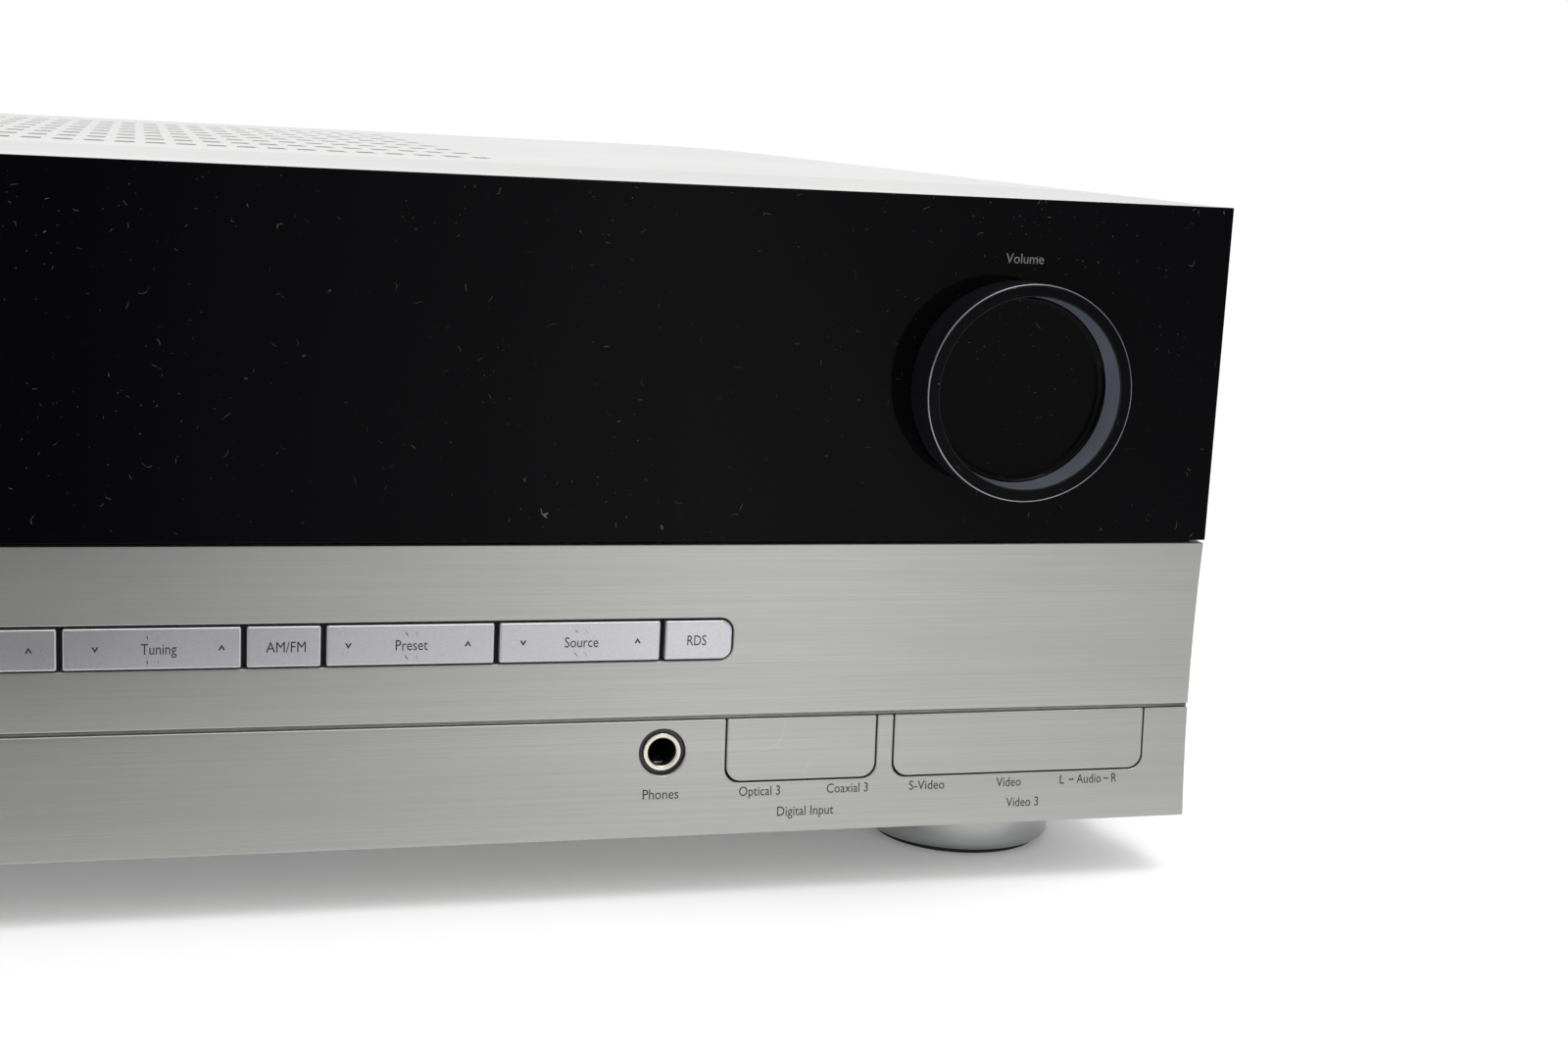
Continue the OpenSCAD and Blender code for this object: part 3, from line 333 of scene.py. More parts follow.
WHITE = moulded("white_insert", (0.78, 0.77, 0.72), 0.35)
ORANGE = moulded("orange_insert", (0.72, 0.22, 0.02), 0.35)
RED_INSERT = moulded("red_insert", (0.5, 0.02, 0.015), 0.35)
GREY_LEAD = moulded("grey_lead", (0.26, 0.27, 0.29), 0.45, 1200.0, 0.00002)

# ---- Finishes on the frame's own pieces, and the edges that they get ----

NODE_FINISH = {
    "front_frame": MOULDING, "upper_panel": PANEL, "upper_band": SILVER, "lower_band": SILVER,
    "digital_cover": SILVER, "av_cover": SILVER, "power_switch": PARTS, "encoder_shaft": STEEL,
    "encoder_body": STEEL, "display_tube": TUBE_GLASS, "front_boards": BOARD, "main_boards": BOARD,
    "key_switches": PARTS, "phones_body": GUNMETAL, "front_jack_bodies": PARTS, "base_pan": ZINC,
    "rear_panel": REAR, "top_cover": COVER, "foot_pads": PAD, "standoffs": GOLD, "transformer_core": IRON,
    "transformer_coil": COIL, "heat_sink": HEAT, "power_transistors": PARTS, "tuner_can": STEEL,
    "rear_jack_bodies": PARTS, "fm_socket": STEEL, "am_terminal": PARTS, "am_lever_left": RED,
    "am_lever_right": PARTS, "speaker_block": PARTS, "speaker_studs": GOLD, "mains_inlet": PARTS,
    "inlet_pins": STEEL, "power_button": KEY,
}
KEYS = ("key_surround", "key_mode", "key_tuning", "key_band", "key_preset", "key_source", "key_rds")
NODE_FINISH.update({key: KEY for key in KEYS})
# Width of each piece's eased edges in millimetres
NODE_EDGE = {
    "upper_panel": 0.3, "upper_band": 0.36, "lower_band": 0.36, "digital_cover": 0.36, "av_cover": 0.36,
    "power_button": 0.5, "phones_body": 0.12, "rear_jack_bodies": 0.25, "front_jack_bodies": 0.25,
    "am_terminal": 0.4, "am_lever_left": 0.35, "am_lever_right": 0.35, "speaker_block": 0.5,
    "mains_inlet": 0.5, "inlet_pins": 0.3, "fm_socket": 0.2, "top_cover": 0.25, "power_transistors": 0.3,
    "heat_sink": 0.3, "transformer_core": 0.5, "transformer_coil": 2.0, "tuner_can": 0.5,
}
NODE_EDGE.update({key: 0.45 for key in KEYS})


def ease_edges(obj, width, flats):
    """Joins the loose triangles, or whole flats too, and rolls every sharp edge over by width."""
    weld = obj.modifiers.new("join", "WELD")
    weld.merge_threshold = 2e-6
    if flats:
        flat = obj.modifiers.new("flats", "DECIMATE")
        flat.decimate_type = "DISSOLVE"
        flat.angle_limit = math.radians(0.5)
    roll = obj.modifiers.new("edges", "BEVEL")
    roll.width = width
    roll.segments = 3
    roll.limit_method = "ANGLE"
    roll.angle_limit = math.radians(32)
    roll.use_clamp_overlap = False
    roll.miter_outer = "MITER_ARC"
    even = obj.modifiers.new("shine", "WEIGHTED_NORMAL")
    even.keep_sharp = False
    even.weight = 80


def set_finish(obj, material):
    """Gives the object one material in place of those that it has."""
    obj.data.materials.clear()
    obj.data.materials.append(material)


for name, material in NODE_FINISH.items():
    set_finish(nodes[name], material)
JOIN_FLATS = ("upper_panel", "upper_band", "lower_band", "digital_cover", "av_cover", *KEYS)
for name, width in NODE_EDGE.items():
    ease_edges(nodes[name], width * MM, name in JOIN_FLATS)

# ---- Surfaces ----


def grid_faces(rows, cols, ring_rows=False, ring_cols=True):
    """Quads between neighbours of a grid of rows by cols points, closed round each way that is a ring."""
    i, j = np.meshgrid(
        np.arange(rows if ring_rows else rows - 1), np.arange(cols if ring_cols else cols - 1), indexing="ij"
    )
    k, m = (i + 1) % rows, (j + 1) % cols
    return np.stack([i * cols + j, i * cols + m, k * cols + m, k * cols + j], -1).reshape(-1, 4)


def piece(name, parts, materials, body, stands_for=()):
    """One object from several (points, faces, material number) parts. Coinciding points are merged and the
    faces are turned outward."""
    points, faces, finish, start = [], [], [], 0
    for verts, quads, number in parts:
        points.append(verts.reshape(-1, 3))
        faces.append(quads + start)
        finish.append(np.full(len(quads), number))
        start += len(points[-1])
    mesh = bpy.data.meshes.new(name)
    for material in materials:
        mesh.materials.append(material)
    quads = [f for part in faces for f in part.tolist()]
    mesh.from_pydata(np.concatenate(points).tolist(), [], quads)
    mesh.polygons.foreach_set("material_index", np.concatenate(finish).astype(np.int32))
    mesh.polygons.foreach_set("use_smooth", np.full(len(quads), True))
    close_up(mesh)
    obj = bpy.data.objects.new(name, mesh)
    scene.collection.objects.link(obj)
    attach(obj, body)
    if stands_for:
        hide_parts(*stands_for)
    return obj


def close_up(mesh):
    """Merges points that coincide, drops faces that have shrunk to nothing and turns all faces outward."""
    work = bmesh.new()
    work.from_mesh(mesh)
    bmesh.ops.remove_doubles(work, verts=work.verts, dist=1e-7)
    bmesh.ops.dissolve_degenerate(work, edges=work.edges, dist=1e-8)
    bmesh.ops.recalc_face_normals(work, faces=work.faces)
    work.to_mesh(mesh)
    work.free()
    mesh.update()


def eased(corners, cut, steps=5):
    """The line through the corners, in millimetres, with each corner cut back by its own length along both
    sides and bridged by the parabola a(1-s)^2 + 2c s(1-s) + b s^2. Ends with no cut stay where they are."""
    corners = np.asarray(corners, float)
    cut = np.broadcast_to(np.asarray(cut, float), len(corners))
    before, after = np.roll(corners, 1, 0) - corners, np.roll(corners, -1, 0) - corners
    unit = [v / np.maximum(np.linalg.norm(v, axis=1, keepdims=True), 1e-9) for v in (before, after)]
    a, b = corners + unit[0] * cut[:, None], corners + unit[1] * cut[:, None]
    s = np.linspace(0, 1, steps)[:, None, None]
    curve = a * (1 - s) ** 2 + 2 * corners * s * (1 - s) + b * s ** 2
    return curve.transpose(1, 0, 2).reshape(-1, 2)


def turned(profile, centre, axis="y", steps=96, ring=False, grip=None):
    """A turned form: each profile point (radius, distance along the axis), in millimetres, goes round a full
    turn, so its place is centre + radius (cos, sin) across the axis and its distance along it. grip(angle,
    profile) multiplies the radius. A profile that is a ring closes on itself."""
    profile = np.asarray(profile, float)
    angle = np.linspace(0, 2 * math.pi, steps, endpoint=False)
    radius = profile[:, :1] * MM * np.ones(steps)
    if grip is not None:
        radius = radius * grip(angle[None, :], profile)
    along = profile[:, 1:] * MM * np.ones(steps)
    across = radius * np.cos(angle), radius * np.sin(angle)
    order = {"y": (across[0], along, across[1]), "-y": (across[0], -along, across[1]),
             "z": (across[0], across[1], along)}[axis]
    points = np.stack(order, -1) + np.asarray(centre, float)
    return points, grid_faces(len(profile), steps, ring_rows=ring)


def swept(path, section):
    """A section (across, over) in millimetres carried along the path: each point is path + across side +
    over top, where side is tangent x z axis and top is side x tangent. Both ends close to a point."""
    path = np.asarray(path, float) * MM
    tangent = np.gradient(path, axis=0)
    tangent /= np.linalg.norm(tangent, axis=1, keepdims=True)
    side = np.cross(tangent, (0.0, 0.0, 1.0))
    side /= np.linalg.norm(side, axis=1, keepdims=True)
    top = np.cross(side, tangent)
    section = np.asarray(section, float) * MM
    rows = path[:, None] + section[None, :, :1] * side[:, None] + section[None, :, 1:] * top[:, None]
    first, last = [np.repeat(p[None, None], rows.shape[1], 1) for p in (path[0], path[-1])]
    rows = np.concatenate([first, rows, last])
    return rows, grid_faces(len(rows), rows.shape[1])


def circle(radius, steps):
    """Points evenly spread on a circle about the origin."""
    angle = np.linspace(0, 2 * math.pi, steps, endpoint=False)
    return np.stack([radius * np.cos(angle), radius * np.sin(angle)], -1)


def smooth_path(points, count):
    """A smooth line through the points: Catmull-Rom cubics, count points evenly spread over them."""
    p = np.asarray(points, float)
    p = np.concatenate([2 * p[:1] - p[1:2], p, 2 * p[-1:] - p[-2:-1]])
    u = np.linspace(0, len(p) - 3 - 1e-9, count)
    i = u.astype(int)
    s = (u - i)[:, None]
    a, b, c, d = p[i], p[i + 1], p[i + 2], p[i + 3]
    return 0.5 * (2 * b + (c - a) * s + (2 * a - 5 * b + 4 * c - d) * s ** 2
                  + (3 * b - a - 3 * c + d) * s ** 3)


def middle(name):
    """Middle of a frame piece's box, as an array in metres."""
    low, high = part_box(name)
    return (np.array(low) + np.array(high)) / 2


def points_of(mesh):
    """The mesh's points, one row each."""
    place = np.empty(len(mesh.vertices) * 3, np.float32)
    mesh.vertices.foreach_get("co", place)
    return place.reshape(-1, 3).astype(float)


def solids_of(name):
    """Middles and sizes in metres of a frame node's separate solids, found by spreading labels between
    triangles that share a corner, rounded to the tolerance, until nothing changes."""
    tolerance = 2e-5
    mesh = nodes[name].data
    place = points_of(mesh)
    mesh.calc_loop_triangles()
    corner = np.empty(len(mesh.loop_triangles) * 3, np.int32)
    mesh.loop_triangles.foreach_get("vertices", corner)
    key = np.unique(np.round(place / tolerance).astype(np.int64), axis=0, return_inverse=True)[1].reshape(-1)
    tri = key[corner.reshape(-1, 3)]
    label = np.arange(key.max() + 1)
    while True:
        low = label[tri].min(1)
        new = label.copy()
        np.minimum.at(new, tri.reshape(-1), np.repeat(low, 3))
        new = new[new]
        if (new == label).all():
            break
        label = new
    own = label[key]
    boxes = [(place[own == g].min(0), place[own == g].max(0)) for g in np.unique(own)]
    return [((a + b) / 2, b - a) for a, b in boxes]


# ---- Volume knob ----


def volume_knob():
    """A turned ring with a dish: a flat rim with rolled edges, a wall that leans in to the dish, and a side.
    The rim and the dish are gloss, the side is satin, and the wall's grey is a painted reflection."""
    rim_wide = 2.9
    lean = 0.5
    dish_middle, dish_edge, wall_foot = 8.35, 8.1, 7.2
    low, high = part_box("volume_knob")
    centre = middle("volume_knob")
    radius, deep = (high.x - low.x) / MM / 2, (high.y - low.y) / MM
    rim = radius - rim_wide
    front = np.array([centre[0], low.y, centre[2]])
    dish = eased([(0, dish_middle), (rim - 1.4, dish_edge), (rim - lean, wall_foot)], [0, 0.8, 0], 6)
    wall = eased([(rim - lean, wall_foot), (rim - 0.04, 0.25)], 0, 2)
    inner = eased([(rim - 0.04, 0.25), (rim, 0), (rim + 0.25, 0)], [0, 0.2, 0], 5)
    face = eased([(rim + 0.25, 0), (radius - 0.3, 0)], 0, 2)
    outer = eased([(radius - 0.3, 0), (radius, 0), (radius, 0.35)], [0, 0.28, 0], 6)
    side = eased([(radius, 0.35), (radius - 0.12, deep - 0.5), (radius - 0.6, deep), (0, deep)],
                 [0, 0.3, 0.3, 0], 4)
    rings = ((dish, 0), (wall, 1), (inner, 3), (face, 0), (outer, 2), (side, 3))
    parts = [(*turned(line, front, "y", 224), number) for line, number in rings]
    finishes = (KNOB_GLOSS, KNOB_WALL_PAINTED_SHEEN, KNOB_EDGE, KNOB_SIDE)
    return piece("volume_knob_turned", parts, finishes, "volume", ("volume_knob",))


# ---- Headphone socket ----


def phones_socket():
    """A plated sleeve with a rolled lip, and the sprung contact that bends into its bore: a strip carried
    along the line drop = 3.1 - 1.3 sin^2, below the socket's middle."""
    outer, bore_radius = 4.5, 3.3
    low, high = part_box("phones_ring")
    centre = middle("phones_ring")
    front = np.array([centre[0], low.y, centre[2]])
    long = (high.y - low.y) / MM
    lip = eased([(outer, long), (outer, 0.25), (4.32, 0), (3.5, 0.05), (3.2, 0.5), (3.2, 1.0),
                 (bore_radius, 1.1)], [0, 0.15, 0.12, 0.2, 0.25, 0, 0], 5)
    bore = eased([(bore_radius, 1.1), (bore_radius, long), (outer, long)], 0, 2)
    piece("phones_sleeve", [(*turned(lip, front, "y", 96), 0), (*turned(bore, front, "y", 96), 1)],
          (NICKEL, PARTS), "case", ("phones_ring",))
    along = np.linspace(0, 1, 24)
    drop = 3.1 - 1.3 * np.sin(math.pi * along) ** 2
    x, y, z = centre[0] / MM, low.y / MM, centre[2] / MM
    path = np.stack([np.full_like(along, x - 0.4), y + 2.4 + 8 * along, z - drop], -1)
    strip = eased([(-1.3, -0.12), (1.3, -0.12), (1.3, 0.12), (-1.3, 0.12)], 0.06, 3)
    piece("phones_contact", [(*swept(path, strip), 0)], (STEEL,), "case")


# ---- Groove between the bands ----


def groove_strip():
    """The bead at the bottom of the groove between the two bands: a shallow rounded section carried along
    the groove."""
    low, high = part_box("lower_band")
    z = (high.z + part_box("upper_band")[0].z) / 2 / MM
    y = (on_band(0, z * MM) + 0.6 * MM) / MM
    x = np.linspace(low.x / MM + 0.3, high.x / MM - 0.3, 60)
    path = np.stack([x, np.full_like(x, y), np.full_like(x, z)], -1)
    bead = eased([(-0.9, -0.42), (0.0, -0.42), (0.0, 0.42), (-0.9, 0.42)], [0, 0.2, 0.2, 0], 4)
    return piece("groove_bead", [(*swept(path, bead), 0)], (GROOVE,), "case")


# ---- Feet ----


def feet():
    """A turned foot: an eased shoulder, a plain side, a chamfered heel, and a hollow underside that takes
    the pad."""
    parts = []
    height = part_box("feet")[1].z / MM
    for centre, extent in solids_of("feet"):
        radius = extent[0] / MM / 2
        base = (centre[0], centre[1], 0.0)
        profile = eased(
            [(4, height - 0.02), (radius - 1.2, height - 0.02), (radius, height - 1.2), (radius, 2.4),
             (radius - 0.7, 1.5), (radius - 2.5, 1.5), (radius - 2.5, 3), (4, 3)],
            [0, 0.8, 0.9, 0.4, 0.3, 0.2, 0.1, 0], 5)
        parts.append((*turned(profile, base, "z", 128, ring=True), 0))
    return piece("turned_feet", parts, (FOOT,), "case", ("feet",))


# ---- Screws ----


def screw_head(centre, axis, radius, high):
    """A pan head with a cross recess: height = dome(r) - depth * cross, where cross is 1 inside two slots
    that narrow outward and falls smoothly to 0 at their walls."""
    r = np.concatenate([np.linspace(0, 0.97, 15), [1.0]]) * radius
    angle = np.linspace(0, 2 * math.pi, 48, endpoint=False)
    rr, aa = np.meshgrid(r, angle, indexing="ij")
    dome = high * np.sqrt(np.clip(1 - 0.86 * (rr / radius) ** 2.6, 0, 1))
    u, v = np.abs(rr * np.cos(aa)), np.abs(rr * np.sin(aa))
    slot = radius * 0.17 * (1 - 0.4 * np.maximum(u, v) / radius)
    near = np.minimum(u, v)
    wall = np.clip((slot - near) / (0.06 * radius) + 0.5, 0, 1)
    reach = np.clip((0.6 * radius - rr) / (0.1 * radius), 0, 1)
    top = dome - 0.55 * high * wall * reach
    along = np.concatenate([top, np.zeros((1, len(angle))), np.zeros((1, len(angle)))])
    radial = np.concatenate([rr, rr[-1:], np.zeros((1, len(angle)))])
    across, over = radial * np.cos(aa[0]) * MM, radial * np.sin(aa[0]) * MM
    along = along * MM
    order = {"y": (across, along, over), "z": (across, over, along), "x": (along, across, over),
             "-x": (-along, across, over), "-z": (across, over, -along)}[axis]
    points = np.stack(order, -1) + np.asarray(centre)
    return points, grid_faces(len(along), len(angle))


def screws():
    """Every screw of the frame with a recessed head where its head shows, and a plain shank below."""
    parts = []
    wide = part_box("top_cover")[1].x
    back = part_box("rear_panel")[1].y
    for centre, extent in solids_of("screws"):
        if abs(centre[0]) > wide:
            side = "x" if centre[0] > 0 else "-x"
            start = (math.copysign(wide, centre[0]), centre[1], centre[2])
            parts.append((*screw_head(start, side, extent[1] / MM / 2, extent[0] / MM), 0))
        elif centre[1] > back:
            parts.append((*screw_head((centre[0], back, centre[2]), "y", extent[0] / MM / 2,
                                      extent[1] / MM), 0))
        elif extent[2] > 5 * MM:
            low = centre[2] - extent[2] / 2
            head = extent[0] / MM / 2
            parts.append((*screw_head((centre[0], centre[1], low + 2 * MM), "-z", head, 2), 0))
            shank = [(0, 1.9), (1.8, 1.9), (1.8, extent[2] / MM), (0, extent[2] / MM)]
            parts.append((*turned(shank, (centre[0], centre[1], low), "z", 24), 0))
        else:
            low = centre[2] - extent[2] / 2
            parts.append((*screw_head((centre[0], centre[1], low), "z", extent[0] / MM / 2,
                                      extent[2] / MM), 0))
    return piece("recessed_screws", parts, (STEEL,), "case", ("screws",))


# ---- Phono sockets ----


def phono_sockets(prefix, shell_node, insert_node, direction, colour_of, materials):
    """Each socket is a plated sleeve with a rolled mouth and thicker root, round a coloured insert whose
    mouth is funnelled into the centre contact's hole. Both are profiles turned about the socket's axis."""
    outer, insert_radius, pin_hole = 4.15, 3.38, 1.6
    shells, inserts = [], []
    for centre, extent in solids_of(shell_node):
        long = extent[1] / MM
        tip = centre[1] - direction * extent[1] / 2
        mouth = (centre[0], tip, centre[2])
        axis = "y" if direction > 0 else "-y"
        root = extent[0] / MM / 2
        step = long - (1.0 if direction > 0 else 2.0)
        sleeve = eased([(outer, step), (outer, 0.1), (outer - 0.2, 0), (outer - 0.6, 0),
                        (outer - 0.75, 0.3), (outer - 0.75, long), (root, long), (root, step)],
                       [0, 0.1, 0.12, 0.1, 0.15, 0, 0, 0], 3)
        shells.append((*turned(sleeve, mouth, axis, 40, ring=True), 0))
        number = colour_of(centre)
        plug = eased([(pin_hole, long), (pin_hole, 1.6), (2.3, 0.65), (3.0, 0.6), (insert_radius, 0.6),
                      (insert_radius, long)], [0, 0.3, 0.2, 0.05, 0.1, 0], 3)
        inserts.append((*turned(plug, mouth, axis, 40, ring=True), number))
        flange = eased([(root, step), (root + 1.35, step), (root + 1.5, step + 0.2), (root + 1.5, step + 1),
                        (root, step + 1)], [0.05, 0.15, 0.1, 0, 0], 3)
        inserts.append((*turned(flange, mouth, axis, 48, ring=True), number))
    piece(prefix + "_shells", shells, (GOLD,), "case", (shell_node,))
    piece(prefix + "_inserts", inserts, materials, "case", (insert_node,))


def front_colour(centre):
    """Number of the insert's colour by its order across the front: digital, picture, left, right."""
    order = sorted(c[0] for c, extent in solids_of("front_rca_shells"))
    return int(np.argmin(np.abs(np.array(order) - centre[0])))


def rear_colour(centre):
    """White over red for each pair of sound rows, and yellow for the picture row at the top."""
    rows = sorted({round(c[2], 4) for c, extent in solids_of("rear_rca_shells")})
    return (1, 0, 1, 0, 2)[int(np.argmin(np.abs(np.array(rows) - centre[2])))]


# ---- Speaker terminals ----


def speaker_caps():
    """A turned cap with a grip of 18 grooves: the radius is 5.5 percent smaller where a clipped cosine of the
    angle is high, which fades out at both ends and leaves the bore round."""
    bore, grooves, groove_deep = 3.06, 18, 0.055
    for name in sorted(n for n in nodes if n.startswith("cap_")):
        low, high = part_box(name)
        centre = middle(name)
        radius, long = (high.x - low.x) / MM / 2, (high.y - low.y) / MM
        start = (centre[0], low.y, centre[2])
        profile = eased(
            [(bore, 0), (radius - 0.5, 0), (radius - 0.1, 0.5), (radius - 0.1, 2.0), (radius, 2.4),
             (radius, 7.0), (radius, long - 2.4), (radius - 0.2, long - 0.6), (radius - 1.2, long),
             (3.2, long), (2.5, long - 0.6), (2.5, long - 1.4), (bore, long - 1.4)],
            [0, 0.3, 0.3, 0.2, 0.2, 0.5, 0.5, 0.3, 0.4, 0.3, 0.2, 0, 0], 4)

        def grip(angle, rows, long=long, radius=radius):
            ribbed = np.clip(np.minimum(rows[:, 1:] - 2.2, long - 1.6 - rows[:, 1:]) / 0.8, 0, 1)
            outside = rows[:, :1] > radius - 0.8
            wave = np.clip(0.5 - 1.6 * np.cos(grooves * angle), 0, 1)
            return 1 - groove_deep * ribbed * outside * wave

        finish = (RED, "red_parts") if name.endswith("red") else (PARTS, "black_parts")
        parts = [(*turned(profile, start, "y", 144, ring=True, grip=grip), 0)]
        piece("grip_" + name, parts, (finish[0],), name, (name,))


# ---- Inside ----


def capacitor_cans():
    """A crimped can: a plain sleeve with a groove near its top, a rolled shoulder and a sunk lid with two
    screw terminals."""
    parts = []
    for centre, extent in solids_of("filter_capacitors"):
        base = (centre[0], centre[1], centre[2] - extent[2] / 2)
        radius, high = extent[0] / MM / 2, extent[2] / MM
        can = eased([(0, 0), (radius - 0.6, 0), (radius, 0.8), (radius, high - 6), (radius - 0.9, high - 5),
                     (radius, high - 4), (radius, high - 0.6), (radius - 0.8, high)],
                    [0, 0.4, 0.4, 0.5, 0.6, 0.5, 0.4, 0], 4)
        lid = eased([(radius - 0.8, high), (radius - 1.6, high - 0.3), (radius - 2, high - 1.6),
                     (0, high - 1.6)], [0, 0.3, 0.4, 0], 4)
        parts.append((*turned(can, base, "z", 72), 0))
        parts.append((*turned(lid, base, "z", 72), 1))
        for s in (-1, 1):
            spot = (base[0] + s * 5 * MM, base[1], base[2] + (high - 1.7) * MM)
            stud = eased([(0, 0), (2.6, 0), (2.6, 1.2), (0, 1.2)], [0, 0, 0.3, 0], 4)
            parts.append((*turned(stud, spot, "z", 24), 2))
    return piece("crimped_cans", parts, (SLEEVE, PARTS, STEEL), "case",
                 ("filter_capacitors",))


def leads():
    """The mains lead, the transformer's leads and the ribbon cable. Each lead is a circle carried along a
    smooth line through its two ends with a slight wander between. The ribbon is a ridged strip, half of its
    thickness 0.22 + 0.2 |cos| of the way across, carried along the route of its solid. Only the ribbon's
    solids are wider than ribbon_wide, and a lead longer than long_lead wanders more."""
    ribbon_wide, long_lead = 25, 60
    rng = np.random.default_rng(11)
    parts = []
    for centre, extent in solids_of("inner_cables"):
        c, e = centre / MM, extent / MM
        long = int(np.argmax(e))
        if e[0] > ribbon_wide:
            continue
        radius = min(e) / 2
        ends = np.array([c - e / 2 * (np.arange(3) == long), c + e / 2 * (np.arange(3) == long)])
        share = np.linspace(0, 1, 7 if e[long] > long_lead else 4)[:, None]
        route = ends[0] * (1 - share) + ends[1] * share
        wander = rng.normal(0, 0.6 if e[long] > long_lead else 0.15, route.shape)
        wander[[0, -1]] = 0
        wander[:, long] = 0
        parts.append((*swept(smooth_path(route + wander, 60), circle(radius, 20)), 0))
    wide = [(c, e) for c, e in solids_of("inner_cables") if e[0] > ribbon_wide * MM]
    low = np.min([c - e / 2 for c, e in wide], 0) / MM
    high = np.max([c + e / 2 for c, e in wide], 0) / MM
    x = (low[0] + high[0]) / 2
    route = [(x, low[1], high[2] - 0.5), (x, low[1] + 30, high[2] - 1.2), (x, high[1] - 60, high[2] - 1.6),
             (x, high[1] - 12, high[2] - 1.4), (x, high[1] - 2.2, high[2] - 5),
             (x, high[1] - 0.6, low[2] + 8), (x, high[1] - 0.5, low[2])]
    across = np.linspace(-1, 1, 129)
    ridge = 0.22 + 0.2 * np.abs(np.cos(across * 16 * math.pi))
    half = (high[0] - low[0]) / 2
    over, under = [np.stack([across * half, side * ridge], -1) for side in (1, -1)]
    parts.append((*swept(smooth_path(route, 50), np.concatenate([over, under[::-1]])), 1))
    return piece("inner_leads", parts, (PARTS, GREY_LEAD), "case", ("inner_cables",))


# ---- Printed words ----


def band_profile():
    """Heights and depths (z, y) of the corner line at the bands' left end, from the bottom up."""
    place = np.concatenate([points_of(nodes[name].data) for name in ("lower_band", "upper_band")])
    ends = place[(place[:, 0] < place[:, 0].min() + 1e-5) & (place[:, 1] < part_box("upper_panel")[1].y)]
    ends = ends[np.argsort(ends[:, 2])]
    return ends[:, 2], ends[:, 1]


BAND_Z, BAND_Y = band_profile()


def letters(words):
    """Points and faces of the words as a thin slab, x across from 0 to 1, y up with capitals 1 high, and z
    from 0 to 1 through the slab."""
    def outline(text):
        curve = bpy.data.curves.new("words", "FONT")
        curve.body = text
        curve.extrude = 0.5
        curve.resolution_u = 3
        holder = bpy.data.objects.new("words", curve)
        mesh = bpy.data.meshes.new_from_object(holder)
        points = points_of(mesh)
        faces = [tuple(p.vertices) for p in mesh.polygons]
        bpy.data.meshes.remove(mesh)
        bpy.data.objects.remove(holder)
        bpy.data.curves.remove(curve)
        return points, faces

    capital = outline("H")[0][:, 1].max()
    points, faces = outline(words)
    points[:, 0] = (points[:, 0] - points[:, 0].min()) / np.ptp(points[:, 0])
    points[:, 1] /= capital
    points[:, 2] += 0.5
    return points, faces


def chevron(up):
    """An open arrow head, 1 wide and 1 high, as a thin slab: a bent stroke of even width."""
    outer = np.array([(0, 0), (0.5, 1), (1, 0), (0.72, 0), (0.5, 0.5), (0.28, 0)])
    if not up:
        outer[:, 1] = 1 - outer[:, 1]
    n = len(outer)
    points = np.concatenate([np.c_[outer, np.zeros(n)], np.c_[outer, np.ones(n)]])
    ring = np.arange(n)
    sides = [(int(i), int((i + 1) % n), int((i + 1) % n + n), int(i + n)) for i in ring]
    caps = [(0, 1, 4, 5), (1, 2, 3, 4), (6, 7, 10, 11), (7, 8, 9, 10)]
    return points, sides + caps


def dash():
    """A short bar, 1 wide and 1 high, as a thin slab."""
    points = np.array([(x, y, z) for z in (0, 1) for y in (0, 1) for x in (0, 1)], float)
    return points, [(0, 2, 3, 1), (4, 5, 7, 6), (0, 1, 5, 4), (2, 6, 7, 3), (0, 4, 6, 2), (1, 3, 7, 5)]


# Thickness of the ink and its distance from the face, in millimetres
INK_THICK = 0.02
INK_CLEAR = 0.004


def printed(name, marks, face, finish, body, from_behind=False):
    """Ink on a face: each mark's (points, faces, left, right, foot, height) in millimetres is spread between
    left and right and stood on foot, and its thickness is laid on face(x, z), the surface's y in metres."""
    points, faces, start = [], [], 0
    for p, f, left, right, foot, high in marks:
        x = (left + p[:, 0] * (right - left)) * MM
        z = (foot + p[:, 1] * high) * MM
        lift = (p[:, 2] * INK_THICK + INK_CLEAR) * MM
        if from_behind:
            x = (right - p[:, 0] * (right - left)) * MM
            lift = -lift
        points.append(np.stack([x, face(x, z) - lift, z], -1))
        faces += [tuple(i + start for i in quad) for quad in f]
        start += len(p)
    mesh = bpy.data.meshes.new(name)
    mesh.materials.append(finish)
    mesh.from_pydata(np.concatenate(points).tolist(), [], faces)
    close_up(mesh)
    obj = bpy.data.objects.new(name, mesh)
    scene.collection.objects.link(obj)
    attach(obj, body)
    return obj


def word(text, left, right, foot, high=2.2):
    """A printed word between left and right, standing on foot."""
    return (*letters(text), left, right, foot, high)


def arrows(down_at, up_at):
    """A key's two signs, with their middles at down_at and up_at."""
    wide, high = 1.5, 1.3
    return [(*chevron(up), x - wide / 2, x + wide / 2, foot, high)
            for up, x, foot in ((False, down_at, 60.7), (True, up_at, 60.9))]


def stroke(left, right, foot):
    """A printed dash between left and right."""
    return (*dash(), left, right, foot, 0.3)


def on_band(x, z):
    """y of the bands' front at height z."""
    return np.interp(z, BAND_Z, BAND_Y)


def on_panel(x, z):
    """y of the black panel's front."""
    return np.full_like(x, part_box("upper_panel")[0].y)


def on_rear(x, z):
    """y of the rear panel's back."""
    return np.full_like(x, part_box("rear_panel")[1].y)


